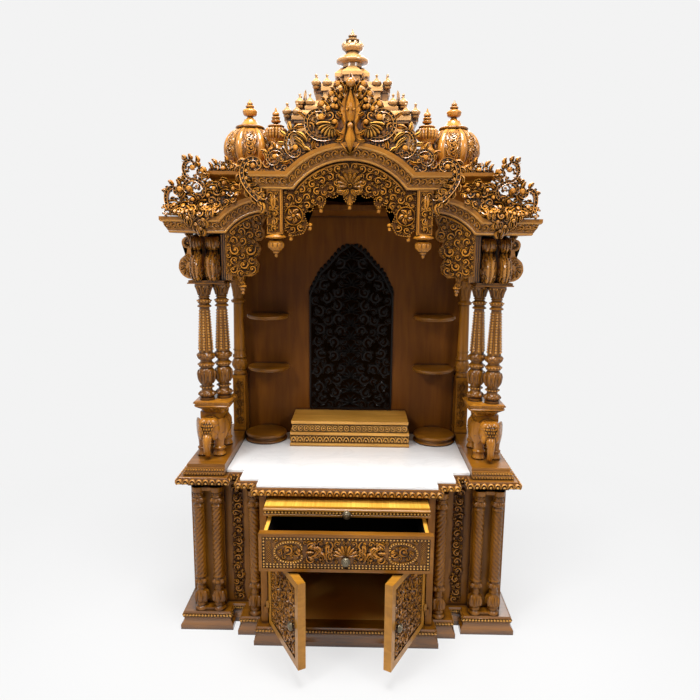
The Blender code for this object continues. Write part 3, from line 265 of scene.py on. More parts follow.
def make_finishes():
    """Every finish of the shrine."""
    low, high = (0.145, 0.05, 0.0025), (0.3, 0.112, 0.008)
    carved = (0.245, 0.084, 0.006), (0.5, 0.198, 0.018)
    # darker colour of the painted shade in the carvings' hollows
    deep_shade = (0.014, 0.0042, 0.0004)
    wood("teak", low, high)
    wood("teak_across", low, high, "x", sheen=0.3)
    wood("carved", *carved, rough=0.18, recess_shade=deep_shade, reach=0.01, shade_depth=1.7, gloss=0.16, sheen=0.22)
    # painted highlight: a paler copy of the carved wood, with more sheen, for the crests, deck scrolls,
    # capitals, domes and cushion finials
    wood("crest", (0.27, 0.096, 0.008), (0.56, 0.235, 0.03), rough=0.18, recess_shade=deep_shade, reach=0.01,
         shade_depth=1.6, gloss=0.25, sheen=0.45)
    # painted shade: a darker copy of the carved wood that stands in for the shade on the lower cabinet's
    # columns; the twin columns, the dome's rim and the drawer's ground use it too
    wood("column", (0.12, 0.04, 0.002), (0.28, 0.104, 0.008), rough=0.18, recess_shade=deep_shade, reach=0.012,
         shade_depth=1.8, gloss=0.16, sheen=0.25)
    wood("dark_teak", (0.095, 0.027, 0.001), (0.17, 0.053, 0.002), rough=0.42, gloss=0.0)
    # painted shade: a darker copy of the teak for the grounds behind carving, the grooves and the roll under
    # the counter, which lie in shade
    wood("ground", (0.06, 0.019, 0.0008), (0.115, 0.038, 0.002), rough=0.42, gloss=0.0)
    # painted highlight: a paler copy of the teak for the cornice rolls, counter rope, column jewels and
    # side-plinth carving
    wood("highlight_teak", (0.32, 0.122, 0.012), (0.6, 0.265, 0.036), "x", 0.18, gloss=0.22, sheen=0.4)
    # painted shade: a near-black copy of the teak for the cupboard's inside, which lies in shade; the black
    # screen's backing sheet uses it too
    wood("shade_black_teak", (0.003, 0.0015, 0.0005), (0.006, 0.003, 0.0008), rough=0.6, gloss=0.0, sheen=0.0)
    wood("golden_teak", (0.28, 0.112, 0.008), (0.47, 0.205, 0.022), "x", sheen=0.3)
    # painted light: a much paler copy of the teak for the pedestal under the overhead light, and for beads
    # and shells that carry highlights
    wood("highlight_pale_teak", (0.46, 0.2, 0.022), (0.78, 0.39, 0.07), "x", sheen=0.5)
    # painted light: a pale, whitish copy of the teak for the spire, its trim and the lotus finial, standing
    # in for the light from above
    wood("lit_roof", (0.32, 0.15, 0.04), (0.63, 0.365, 0.14), "x", 0.15, gloss=0.35, sheen=0.6)
    plinth = wood("plinth_teak", (0.125, 0.043, 0.002), (0.25, 0.092, 0.006), "x", 0.16, gloss=0.6, sheen=0.6)
    # the plinth's top is the cupboard's floor, in lighter wood
    inside_case = (abs(plinth.height("X")) < 0.305) * (plinth.height("Y") > -0.286)
    inside_case = inside_case * (plinth.height("Z") > PLINTH_TOP - 0.0005)
    plinth.set("Base Color", plinth.mix(inside_case, plinth.colour, (0.62, 0.3, 0.06)))

    light = Finish("light_wood", coat_weight=0.2, coat_roughness=0.2)
    light.set("Base Color", veneer_colour(light))
    light.set("Roughness", 0.34 + 0.12 * light.noise(60.0, (1, 0.05, 1)))
    light.bump(light.noise(400.0, (1, 0.03, 1), 1.0), 0.15, 0.0004)

    box_wood = Finish("drawer_wood", coat_weight=0.1, coat_roughness=0.2)
    low_corner, high_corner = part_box("drawer_box")
    level = box_wood.height("Z")
    within = (abs(box_wood.height("X")) < high_corner.x - DRAWER_WALL + 0.0005)
    within = within * (level > low_corner.z + 0.007) * (level < high_corner.z - 0.0005)
    box_wood.set("Base Color", box_wood.mix(within, veneer_colour(box_wood), (0.006, 0.004, 0.003)))
    box_wood.set("Roughness", 0.4 + 0.12 * box_wood.noise(60.0, (1, 0.05, 1)))

    tray = Finish("tray_wood", coat_weight=0.05, coat_roughness=0.2, specular_ior_level=0.25)
    streak = tray.noise(46.0, ALONG["x"], 4.0, 0.6)
    edge = tray.mix(tray.span(streak, 0.3, 0.7), (0.24, 0.096, 0.009), (0.4, 0.172, 0.02))
    # painted shade: the front edge darkens in its hollows
    edge = tray.mix(tray.hollow(0.01) ** 1.4, RECESS_SHADE, edge)
    veneered = tray.height("Y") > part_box("tray")[0].y + TRAY_STRIP
    tray.set("Base Color", tray.mix(veneered, edge, veneer_colour(tray)))
    tray.set("Roughness", 0.3 + 0.12 * streak)
    tray.bump(streak, 0.15, 0.0004)

    marble = Finish("marble", coat_weight=0.5, coat_roughness=0.08)
    veins = marble.noise(3.2, (1, 1.4, 1), 6.0, 1.6)
    cloud = marble.noise(1.5, (1, 1, 1), 3.0)
    vein = marble.span(veins, 0.485, 0.515) * marble.span(veins, 0.545, 0.515)
    marble.set("Base Color", marble.mix(0.22 * vein + 0.06 * cloud, (0.95, 0.95, 0.945), (0.72, 0.72, 0.715)))
    marble.set("Roughness", 0.14 + 0.08 * cloud)

    black = Finish("black_lacquer", coat_weight=0.04, coat_roughness=0.2, specular_ior_level=0.12)
    worn = black.noise(30.0)
    # painted shade: the lacquer is darker still in its hollows
    black.set("Base Color", black.mix(black.hollow(0.01), (0.0005, 0.0005, 0.0005), (0.007, 0.005, 0.004)))
    black.set("Roughness", 0.3 + 0.15 * worn)

    brass = Finish("antique_brass", metallic=1.0)
    rubbed = brass.hollow(0.006)
    brass.set("Base Color", brass.mix(rubbed ** 2.0, (0.01, 0.008, 0.006), (0.2, 0.165, 0.11)))
    brass.set("Roughness", 0.3 + 0.25 * (1 - rubbed))


class Shape:
    """Closed skins gathered into one piece."""

    def __init__(self):
        self.points, self.quads, self.tris, self.count = [], [], [], 0

    def add(self, points, quads, tris):
        """Add a closed skin, turned so that its faces point out."""
        a, b, c = points[tris[:, 0]], points[tris[:, 1]], points[tris[:, 2]]
        volume = np.einsum("ij,ij->", a - points[0], np.cross(b - points[0], c - points[0]))
        for i, j, k in ((0, 1, 2), (0, 2, 3)):
            a, b, c = points[quads[:, i]], points[quads[:, j]], points[quads[:, k]]
            volume += np.einsum("ij,ij->", a - points[0], np.cross(b - points[0], c - points[0]))
        if volume < 0:
            quads, tris = quads[:, ::-1], tris[:, ::-1]
        self.points.append(points)
        self.quads.append(quads + self.count)
        self.tris.append(tris + self.count)
        self.count += len(points)

    def loft(self, rings):
        """Closed skin through rings of points, with a fan over each end."""
        rings = np.asarray(rings, float)
        rows, around = rings.shape[:2]
        points = np.concatenate([rings.reshape(-1, 3), rings[[0, -1]].mean(1)])
        i = np.arange(around)
        j = (i + 1) % around
        base = (np.arange(rows - 1) * around)[:, None]
        quads = np.stack([base + i, base + j, base + around + j, base + around + i], -1).reshape(-1, 4)
        last = (rows - 1) * around
        ends = [np.stack([j, i, np.full(around, rows * around)], -1),
                np.stack([last + i, last + j, np.full(around, rows * around + 1)], -1)]
        self.add(points, quads, np.concatenate(ends))

    def joined(self):
        return np.concatenate(self.points), np.concatenate(self.quads), np.concatenate(self.tris)

    def put(self, other, mapping):
        """Lay another shape on this one through a mapping of its points."""
        points, quads, tris = other.joined()
        self.add(mapping(points), quads, tris)

    def laid(self, mapping):
        """The shape, moved through a mapping."""
        made = Shape()
        made.put(self, mapping)
        return made

    def mirrored(self):
        return self.laid(lambda p: p * (-1, 1, 1))


def both_sides(shape):
    """Shape with its mirror image."""
    whole = shape.laid(lambda p: p)
    whole.put(shape, lambda p: p * (-1, 1, 1))
    return whole


def piece(name, shape, finish, body="root", slot="teak", replaces=(), sharp=42.0):
    """Object of a shape, which rides on a body."""
    points, quads, tris = shape.joined()
    points = np.clip(points, cad_low, cad_high)
    mesh = bpy.data.meshes.new(name)
    mesh.from_pydata(points.tolist(), [], quads.tolist() + tris.tolist())
    mesh.shade_smooth()
    mesh.set_sharp_from_angle(angle=radians(sharp))
    mesh.materials.append(FINISHES[finish].material)
    made = bpy.data.objects.new(name, mesh)
    bpy.context.collection.objects.link(made)
    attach(made, body)
    if replaces:
        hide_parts(*replaces)
    return made


def pair(name, shape, finish, *replaces, slot="teak"):
    """A right-hand piece and its mirror image; replaces names nodes without their side."""
    for side, made in (("left", shape.mirrored()), ("right", shape)):
        piece(f"{name}_{side}", made, finish, "root", slot, [f"{node}_{side}" for node in replaces])


# Flat carving

ROUND = np.array([(-1, 0.1, 0), (-0.72, 0.7, 0), (0, 1, 0), (0.72, 0.7, 0), (1, 0.1, 0), (0.7, 0, 1),
                  (-0.7, 0, 1)])
BAND = np.array([(-1, 0.3, 0), (-0.85, 1, 0), (-0.6, 0.95, 0), (-0.48, 0.5, 0), (0.48, 0.5, 0),
                 (0.6, 0.95, 0), (0.85, 1, 0), (1, 0.3, 0), (0.8, 0, 1), (-0.8, 0, 1)])
BLADE = np.array([(-1, 0.18, 0), (-0.62, 0.85, 0), (-0.25, 1, 0), (0, 0.62, 0), (0.25, 1, 0), (0.62, 0.85, 0),
                  (1, 0.18, 0), (0.6, 0, 1), (-0.6, 0, 1)])
SLIM = np.array([(-1, 0.15, 0), (-0.55, 0.85, 0), (0.55, 0.85, 0), (1, 0.15, 0), (0, 0, 1)])
SLIM_BLADE = np.array([(-1, 0.18, 0), (-0.45, 0.95, 0), (0, 0.6, 0), (0.45, 0.95, 0), (1, 0.18, 0),
                       (0, 0, 1)])


def curl(start, heading, length, bend, coil, count=14, power=3.0):
    """Path that leaves start at a heading, bends evenly and coils up at its end; angles in degrees."""
    share = (np.arange(count - 1) + 0.5) / (count - 1)
    angle = np.radians(heading + bend * share + coil * share ** power)
    step = length / (count - 1)
    path = np.stack([np.cos(angle), np.sin(angle)], 1) * step
    return np.concatenate([[(0, 0)], np.cumsum(path, 0)]) + start


def sides_of(path):
    """Unit direction across a path at each of its points."""
    ahead = np.gradient(path, axis=0)
    ahead /= np.linalg.norm(ahead, axis=1)[:, None] + 1e-12
    return ahead, np.stack([-ahead[:, 1], ahead[:, 0]], 1)


def run_out(count, start, end, last=0.35):
    """Width shares along a path: from start to end, rounded at both ends."""
    share = np.linspace(0, 1, count)
    ends = np.minimum(1, np.minimum(share, 1 - share) * (count - 1) * (1 - last) / 1.6 + last)
    return (start + (end - start) * share) * ends


def ridge(shape, path, half, high, under=0.001, section=ROUND, start=1.0, end=0.6, lift=0.0):
    """Carved ridge along a path; half is its half width, high how proud it is."""
    path = np.asarray(path)
    _, across = sides_of(path)
    width = run_out(len(path), start, end)
    flat = path[:, None] + across[:, None] * (width[:, None] * half * section[:, 0])[..., None]
    proud = lift + width[:, None] ** 0.7 * high * section[:, 1] - under * section[:, 2]
    shape.loft(np.concatenate([flat, proud[..., None]], -1))


def bar(shape, path, half, high, section=ROUND, under=CRUST):
    """Ridge of even width."""
    ridge(shape, path, half, high, under, section, 1, 1)


def leaf(shape, path, half, high, under=0.001, lobes=4, lift=0.0, section=BLADE):
    """Acanthus leaf along a path: toothed edges that point forward and a groove down the middle."""
    share = np.linspace(0, 1, len(path))
    grown = np.minimum(1, share / 0.3) ** 0.6 * (1 - share ** 2.2) ** 0.6 * 0.95 + 0.05
    tooth = (share * lobes) % 1.0
    notch = 0.66 + 0.34 * np.sin(pi * np.minimum(1, tooth * 0.9 + 0.1)) ** 0.8
    ahead, across = sides_of(path)
    width = half * grown * notch
    push = 0.35 * half * grown * notch
    u = section[:, 0]
    flat = path[:, None] + across[:, None] * (width[:, None] * u)[..., None]
    flat += ahead[:, None] * (push[:, None] * np.abs(u) * (1 - section[:, 2]))[..., None]
    crown = high * (0.55 + 0.45 * np.sin(pi * share * 0.9)) * (0.8 + 0.2 * notch)
    proud = lift + crown[:, None] * section[:, 1] - under * section[:, 2]
    shape.loft(np.concatenate([flat, proud[..., None]], -1))


def frond(shape, start, heading, length, bend, coil, half, high, under=0.001, lobes=4, lift=0.0,
          section=BLADE, count=9):
    """Leaf on a curl."""
    leaf(shape, curl(start, heading, length, bend, coil, count), half, high, under, lobes, lift, section)


def leaves(shape, rows, bend, coil, half, high, under, lobes=3, lift=0.0):
    """Leaves that start at places (x, y), each with its heading and its length."""
    for x, y, heading, length in rows:
        frond(shape, (x, y), heading, length, bend, coil, half, high, under, lobes, lift)


def ball(shape, x, y, z, radius, tall=1.0, sides=8, rows=5):
    """Ball whose flat-carving place is (x, y) and whose middle is z proud."""
    angle = np.linspace(-pi / 2, pi / 2, rows + 2)[1:-1]
    turn = np.arange(sides) * 2 * pi / sides
    rings = [[(x + radius * cos(a) * cos(t), y + radius * cos(a) * sin(t), z + radius * tall * sin(a))
              for t in turn] for a in angle]
    shape.loft(rings)


def smooth(points, steps=5):
    """Path through points, rounded between them."""
    p = np.asarray(points, float)
    p = np.concatenate([2 * p[:1] - p[1:2], p, 2 * p[-1:] - p[-2:-1]])
    t = np.arange(steps)[:, None] / steps
    runs = [0.5 * (2 * b + (c - a) * t + (2 * a - 5 * b + 4 * c - d) * t ** 2 + (3 * b - a - 3 * c + d)
                   * t ** 3) for a, b, c, d in zip(p, p[1:], p[2:], p[3:])]
    return np.concatenate([*runs, p[-2:-1]])


RIBBED = np.array([(-1, 0.12, 0), (-0.74, 0.8, 0), (-0.4, 0.5, 0), (0, 1.1, 0), (0.4, 0.5, 0), (0.74, 0.8, 0),
                   (1, 0.12, 0), (0, 0, 1)])


def mound(flat, rows, x=0.0, under=0.004):
    """Upright leaf with a middle rib, through rows of (z, half width, crown)."""
    flat.loft([np.stack([x + half * RIBBED[:, 0], np.full(len(RIBBED), z),
            crown * RIBBED[:, 1] - under * RIBBED[:, 2]], 1) for z, half, crown in smooth(rows, 3)])


def beaded_band(flat, points, half, high, under=0.008, lift=0.0, steps=5, eye=1.3):
    """Broad scroll through points: raised edges, a row of beads between them, a ball in its first point."""
    path = smooth(points, steps)
    ridge(flat, path, half, high, under, BAND, 0.75, 0.85, lift)
    beads(flat, path[4:-2], half * 1.5, half * 0.4, lift + high * 0.6)
    if eye:
        ball(flat, *path[0], lift + high * 0.75, half * eye, sides=10)
    return path


def oval(x, y, wide, tall, count, first=0.0, last=2 * pi):
    """Points of an ellipse, or of a stretch of one."""
    return [(x + wide * cos(a), y + tall * sin(a)) for a in np.linspace(first, last, count)]


def oblong(x0, y0, x1, y1):
    """Corners of an upright rectangle."""
    return [(x0, y0), (x1, y0), (x1, y1), (x0, y1)]


def places_along(path, pitch):
    """Points at even steps along a path."""
    path = np.asarray(path, float)
    runs = np.concatenate([[0], np.cumsum(np.linalg.norm(np.diff(path, axis=0), axis=1))])
    count = max(2, round(runs[-1] / pitch) + 1)
    where = np.linspace(0, runs[-1], count)
    return np.stack([np.interp(where, runs, path[:, 0]), np.interp(where, runs, path[:, 1])], 1)


def beads(shape, path, pitch, radius, z=0.0):
    """Row of small round beads."""
    for x, y in places_along(path, pitch):
        ball(shape, x, y, z, radius, sides=6, rows=3)


def foliate(shape, start, heading, length, bend, coil, half, high, under=0.001, leaves=3, lift=0.0,
            beaded=False):
    """Scroll with a ball in its eye and leaves that spring from its outer side."""
    path = curl(start, heading, length, bend, coil, 16)
    ridge(shape, path, half, high, under, BAND if beaded else ROUND, 1.0, 0.55, lift)
    if beaded:
        beads(shape, path[1:-4], half * 1.5, half * 0.36, lift + high * 0.55)
    ball(shape, *path[-1], lift + high * 0.6, half * 1.25)
    turn = 1 if bend + coil > 0 else -1
    ahead, across = sides_of(path)
    for k in range(leaves):
        i = 2 + round(k * 9 / max(leaves, 2))
        way = np.degrees(np.arctan2(ahead[i, 1], ahead[i, 0])) - turn * 48
        size = length * (0.3 - 0.045 * k)
        root = path[i] - turn * across[i] * half * 0.5
        frond(shape, root, way, size, turn * 55, turn * 40, size * 0.3, high * 0.95, under, 3, lift)


def fan(shape, x, y, radius, first, last, petals, high, under=0.001, lift=0.0):
    """Shell of petals that spread from a point between two headings."""
    for k in range(petals):
        way = first + (last - first) * k / (petals - 1)
        path = curl((x, y), way, radius, 0, 0, 7)
        half = radius * radians(abs(last - first)) / petals * 0.55
        ridge(shape, path, half, high, under, ROUND, 0.35, 1.25, lift)


def inside(points, loops):
    """Which points lie inside an outline of loops."""
    x, y = points.T
    found = np.zeros(len(points), bool)
    for loop in loops:
        for (x0, y0), (x1, y1) in zip(loop, np.roll(loop, -1, 0)):
            crosses = (y0 > y) != (y1 > y)
            found ^= crosses & (x < (x1 - x0) * (y - y0) / ((y1 - y0) or 1.0) + x0)
    return found


def from_edge(points, loops):
    """Distance of each point from an outline of loops."""
    nearest = np.full(len(points), np.inf)
    for loop in loops:
        for begin, end in zip(loop, np.roll(loop, -1, 0)):
            ahead = end - begin
            share = np.clip((points - begin) @ ahead / (ahead @ ahead + 1e-12), 0, 1)
            nearest = np.minimum(nearest, np.linalg.norm(points - begin - share[:, None] * ahead, axis=1))
    return nearest


def face_loops(name):
    """Loops (x, z) round a node's foremost flat face."""
    node = frame["nodes"][name].data
    face_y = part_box(name)[0].y
    place = [tuple(round(float(v), 5) for v in point.co) for point in node.vertices]
    steps = set()
    for face in node.polygons:
        corners = [place[i] for i in face.vertices]
        if all(abs(y - face_y) < 1e-4 for _, y, _ in corners):
            steps |= set(zip(corners, corners[1:] + corners[:1]))
    follows = {a: b for a, b in steps if (b, a) not in steps}
    loops = []
    while follows:
        begin, point = follows.popitem()
        loop = [begin]
        while point != begin and point in follows:
            loop.append(point)
            point = follows.pop(point)
        loops.append(np.array([(x, z) for x, _, z in loop]))
    return loops


def packed_circles(loops, largest, smallest, first, chance, margin=0.0):
    """Circles that fill an outline, large ones first, round the ones that are given."""
    loops = [np.asarray(loop, float) for loop in loops]
    low, high = np.concatenate(loops).min(0), np.concatenate(loops).max(0)
    step = smallest * 0.4
    grid = np.meshgrid(np.arange(low[0], high[0], step), np.arange(low[1], high[1], step))
    spots = np.stack([axis.ravel() for axis in grid], 1)
    spots = spots[inside(spots, loops)]
    room = from_edge(spots, loops) - margin
    limit = largest * chance.uniform(0.72, 1.0, len(spots))
    circles = []
    for x, y, r in first:
        room = np.minimum(room, np.hypot(spots[:, 0] - x, spots[:, 1] - y) - r)
    while len(spots):
        fits = np.minimum(room, limit)
        best = fits.argmax()
        if fits[best] < smallest:
            break
        (x, y), r = spots[best], fits[best]
        circles.append((x, y, r))
        room = np.minimum(room, np.hypot(spots[:, 0] - x, spots[:, 1] - y) - r)
    return circles


def rosette_scroll(flat, x, y, r, heading, turn, high, under=CRUST, lift=0.0):
    """Scroll that fills a circle, with a ball in its eye and leaves along its outer side."""
    small = r < 0.0095
    share = np.linspace(0, 1, 8 if small else 11)
    angle = np.radians(heading + turn * 400 * share)
    reach = r * (0.94 - 0.7 * share ** 0.85)
    path = np.stack([x + reach * np.cos(angle), y + reach * np.sin(angle)], 1)
    ridge(flat, path, r * 0.2, high, under, SLIM, 1.15, 0.6, lift)
    ball(flat, x, y, lift + high * 0.6, r * 0.3, sides=6, rows=3)
    ahead, _ = sides_of(path)
    for k in range(2 if small else 3 if r < 0.013 else 4):
        i = 1 + k * 2
        way = np.degrees(np.arctan2(ahead[i, 1], ahead[i, 0])) - turn * 30
        frond(flat, path[i], way, r * (1.05 - 0.1 * k), turn * 60, turn * 50, r * 0.34, high * 0.9, under, 2,
              lift, SLIM_BLADE, count=5)


def foliage(flat, loops, largest, smallest, high, seed, first=(), margin=0.0, under=CRUST):
    """Fill the outline that loops draw with carved scrolls and leaves, leaving the circles in first free."""
    chance = np.random.default_rng(seed)
    for x, y, r in packed_circles(loops, largest, smallest, first, chance, margin):
        proud = high * min(1.0, 0.55 + 0.45 * r / largest)
        rosette_scroll(flat, x, y, r * 1.06, chance.uniform(0, 360), chance.choice((-1, 1)), proud, under)


def half_loop(name):
    """Right half of the outline of a node's foremost face."""
    loop = max(face_loops(name), key=len)
    right = loop[:, 0] > -1e-6
    first = int(np.nonzero(right & ~np.roll(right, 1))[0][0])
    loop = np.roll(loop, -first, 0)
    return loop[loop[:, 0] > -1e-6]


def lattice(flat, low, high, pitch, half, proud):
    """Slanting bars both ways over a rectangle."""
    (x0, y0), (x1, y1) = low, high
    tall = y1 - y0
    for way in (-1, 1):
        count = int((x1 - x0 + tall) / pitch) + 1
        for k in range(count):
            start = x0 - tall + pitch * (k + 0.5)
            ends = [(max(x0, start), y0 + max(0, x0 - start)), (min(x1, start + tall),
                    y0 + min(tall, x1 - start))]
            if ends[1][0] - ends[0][0] < pitch * 0.3:
                continue
            path = np.linspace(ends[0], ends[1], 3)
            if way < 0:
                path = path * (-1, 1) + (x0 + x1, 0)
            bar(flat, path, half, proud, SLIM)


def front(y):
    """Mapping of flat carving in (x, z) on a plane that faces forward."""
    return lambda p: np.stack([p[:, 0], y - p[:, 2], p[:, 1]], 1)


def draped(y):
    """Mapping of the corner crests: upright above, and bent forward over the side cornice below."""
    levels = CORNICE_FOOT + np.array([0.0, 0.013, 0.044, 0.053, 0.062, 0.082, 0.108])
    reach = SIDE_LINE[1] - np.array([0.001, 0.004, 0.021, 0.029, 0.031, 0.024, 0.0])
    reach[-1] = y

    def mapping(p):
        foot, crown, _, rise = SIDE_ARCH
        radius = ((foot - crown) ** 2 + rise ** 2) / (2 * rise)
        climb = np.sqrt(np.maximum(0.0, radius ** 2 - (p[:, 0] - crown) ** 2)) - radius + rise
        climb = np.where(p[:, 0] < foot, np.maximum(0.0, climb), 0.0)
        return np.stack([p[:, 0], np.interp(p[:, 1] - climb, levels, reach) - p[:, 2], p[:, 1]], 1)
    return mapping


def shifted(mapping, along):
    """The mapping, with the flat carving moved along first."""
    return lambda p: mapping(p + (along, 0, 0))


# Turned work

def bowed(rows, steps=5):
    """Profile through rows (radius, z, bow); bow, a share of its length, swells the stretch up to its row."""
    line = [rows[0][:2]]
    for (r0, z0, *_), (r1, z1, *bow) in zip(rows, rows[1:]):
        swell = bow[0] if bow else 0
        count = steps if swell else 1
        for k in range(1, count + 1):
            share = k / count
            out = 4 * swell * share * (1 - share)
            line.append((r0 + (r1 - r0) * share + out * (z1 - z0), z0 + (z1 - z0) * share - out * (r1 - r0)))
    return np.array(line)


def shares(rows, radius, foot, height):
    """Rows in metres from rows of shares."""
    return [(radius * r, foot + height * z, *bow) for r, z, *bow in rows]


def turned(shape, rows, x, y, sides=28, flute=None, steps=5, spin=0.0):
    """Turned piece on a vertical axis; flute(angle, z) gives a share of the radius."""
    line = bowed(rows, steps)
    angle = np.arange(sides) * 2 * pi / sides + spin
    radius = np.repeat(line[:, :1], sides, 1)
    if flute:
        radius = radius * flute(angle[None], line[:, 1:])
    z = np.repeat(line[:, 1:], sides, 1)
    shape.loft(np.stack([x + radius * np.cos(angle), y + radius * np.sin(angle), z], -1))


def round_post(x, y, radius_at, spin=0.0):
    """Mapping of flat carving round a vertical axis; along is measured in turns, up in metres."""
    def mapping(p):
        angle = p[:, 0] * 2 * pi + spin - pi / 2
        radius = radius_at(p[:, 1]) + p[:, 2]
        return np.stack([x + radius * np.cos(angle), y + radius * np.sin(angle), p[:, 1]], 1)
    return mapping


def ring_of_beads(shape, x, y, z, radius, count, size):
    """Beads round a turned piece."""
    for k in range(count):
        angle = 2 * pi * k / count
        ball(shape, x + radius * cos(angle), y + radius * sin(angle), z, size, sides=6, rows=3)


def ring_of_leaves(shape, x, y, radius_at, foot, tall, count, high, upright=True):
    """Leaves that stand round a turned piece, on its profile."""
    reach = tall if upright else -tall
    girth = 2 * pi * float(radius_at(np.array([foot + reach / 2]))[0])
    flat = Shape()
    leaf(flat, np.stack([np.zeros(8), np.linspace(0, reach, 8)], 1), girth / count * 0.5, high, 0.002, 3)
    mapping = round_post(x, y, radius_at)
    for k in range(count):
        shape.put(flat, lambda p: mapping(p * (1 / girth, 1, 1) + (k / count, foot, 0)))


def radius_of(rows):
    """Function that gives a turned profile's radius at heights."""
    line = bowed(rows)
    order = np.argsort(line[:, 1], kind="stable")
    return lambda z: np.interp(z, line[order, 1], line[order, 0])


# Mouldings that follow a line of stretches

def arch_point(arch, up, share):
    """Point (x, z) of an arch, up above its own line, at a share of the way from foot to crown."""
    foot, crown, base, rise = arch
    span = foot - crown
    radius = (span * span + rise * rise) / (2 * rise)
    r = radius + up
    opening = np.arctan2(np.sqrt(r * r - (r - rise) ** 2), r - rise) * (1 - share)
    return crown + r * np.sin(opening), base + rise - radius + r * np.cos(opening)


def corner(x, y, z, across):
    """Corner of a level moulding, whose out follows the plan direction across."""
    return lambda out, up: np.stack([x + out * across[0], y + out * across[1], z + up], -1)


def springing(arch, y):
    """Where a level moulding meets an arched one."""
    def place(out, up):
        x, z = arch_point(arch, up, 0.0)
        return np.stack([x, y - out, z], -1)
    return place


class Course:
    """Line that a moulding and its carving follow, from stretch to stretch."""

    def __init__(self):
        self.stretches, self.ends = [], [0.0]

    def add(self, length, place, steps=1):
        self.stretches.append((place, steps))
        self.ends.append(self.ends[-1] + length)

    @staticmethod
    def through(z, corners):
        """Level line through corners (x, y), each with the plan direction that out takes there."""
        course = Course()
        marks = [corner(x, y, z, across) for x, y, across in corners]
        for first, last in zip(marks, marks[1:]):
            course.level(first, last)
        return course

    def level(self, first, last):
        zero = np.zeros(1)
        length = float(np.linalg.norm(last(zero, zero) - first(zero, zero)))

        def place(share, out, up):
            return first(out, up) + (last(out, up) - first(out, up)) * share[:, None]
        self.add(length, place)

    def arch(self, arch, y, steps=22):
        def place(share, out, up):
            x, z = arch_point(arch, up, share)
            return np.stack([x, y - out, z], -1)
        foot, crown, _, rise = arch
        self.add(hypot(foot - crown, rise) * 1.04, place, steps)

    def place(self, along, out, up):
        """World points at distances along the line."""
        made = np.zeros((len(along), 3))
        for k, (place, _) in enumerate(self.stretches):
            low, high = self.ends[k], self.ends[k + 1]
            mine = np.full(len(along), True)
            if k:
                mine &= along >= low
            if k < len(self.stretches) - 1:
                mine &= along < high
            if mine.any():
                made[mine] = place((along[mine] - low) / (high - low), out[mine], up[mine])
        return made

    def moulding(self, shape, section):
        """Sweep a closed section of (out, up) points along the whole line."""
        section = np.asarray(section, float)
        rings = []
        for k, (place, steps) in enumerate(self.stretches):
            first = 0 if k == 0 else 1
            for i in range(first, steps + 1):
                rings.append(place(np.full(len(section), i / steps), section[:, 0], section[:, 1]))
        shape.loft(rings)

    def band(self, low, high):
        """Mapping of flat carving on the band between two points (out, up) of the section."""
        low, high = np.array(low), np.array(high)
        rise = (high - low) / np.linalg.norm(high - low)
        proud = np.array((rise[1], -rise[0]))

        def mapping(p):
            spot = low + rise * p[:, 1:2] + proud * p[:, 2:3]
            return self.place(p[:, 0], spot[:, 0], spot[:, 1])
        return mapping

    def repeat(self, shape, motif, low, high, pitch, inset=0.0):
        """Lay a motif along the band of every stretch again and again, at about the pitch."""
        mapping = self.band(low, high)
        for begin, end in zip(self.ends, self.ends[1:]):
            begin, end = begin + inset, end - inset
            count = max(1, round((end - begin) / pitch))
            for k in range(count):
                shape.put(motif, shifted(mapping, begin + (end - begin) * (k + 0.5) / count))


BAND_LOW, BAND_HIGH = (0.003, 0.013), (0.0195, 0.044)
BAND_WIDE = hypot(BAND_HIGH[0] - BAND_LOW[0], BAND_HIGH[1] - BAND_LOW[1])


def leaf_scroll_motif():
    """Repeat of the cornices' band: a scroll and three leaves, centred on nought."""
    flat = Shape()
    wide, tall = 0.028, BAND_WIDE
    rosette_scroll(flat, -wide * 0.16, tall * 0.5, tall * 0.46, 250, -1, 0.0056)
    for x, z, way, size, bend in ((0.1, 0.98, 250, 0.03, 75), (0.12, 0.04, 40, 0.026, -90),
            (-0.3, 0.98, 320, 0.02, 70), (0.36, 0.6, 200, 0.018, -60)):
        frond(flat, (wide * x, tall * z), way, size, bend, 20, 0.006, 0.0052, CRUST, 2, 0.0, SLIM_BLADE,
              count=8)
    return flat


def side_course():
    """Right-hand cornice: along the side, round the corner, then over the side arch."""
    x, y = SIDE_LINE
    course = Course()
    turn = corner(x, y, CORNICE_FOOT, (1, -1))
    foot = springing(SIDE_ARCH, y)
    course.level(corner(x, BACK, CORNICE_FOOT, (1, 0)), turn)
    course.level(turn, foot)
    course.arch(SIDE_ARCH, y)
    return course


def portico_course():
    """Right half of the portico's cornice."""
    x, y = PORTICO_LINE
    course = Course()
    turn = corner(x, y, PORTICO_FOOT, (1, -1))
    course.level(corner(x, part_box("portico_cornice")[1].y, PORTICO_FOOT, (1, 0)), turn)
    course.level(turn, springing(PORTICO_ARCH, y))
    course.arch(PORTICO_ARCH, y)
    return course


def cornices():
    """Rolled and carved skins laid over the cornices."""
    motif = leaf_scroll_motif()
    ground = [BAND_LOW, BAND_HIGH, (BAND_HIGH[0] - 0.004, BAND_HIGH[1]), (BAND_LOW[0] - 0.004, BAND_LOW[1])]
    ground = [(out + 0.0006, up) for out, up in ground]
    for name, course in (("side_cornice", side_course()), ("portico_cornice", portico_course())):
        parts = {"rolls": Shape(), "carving": Shape(), "ground": Shape()}
        for roll in (lower_roll(), upper_roll()):
            course.moulding(parts["rolls"], roll)
        course.moulding(parts["ground"], ground)
        course.repeat(parts["carving"], motif, BAND_LOW, BAND_HIGH, 0.027, 0.003)
        for part, finish in (("rolls", "highlight_teak"), ("carving", "carved"), ("ground", "ground")):
            if name == "side_cornice":
                pair(f"{name}_{part}", parts[part], finish)
            else:
                piece(f"{name}_{part}", both_sides(parts[part]), finish)


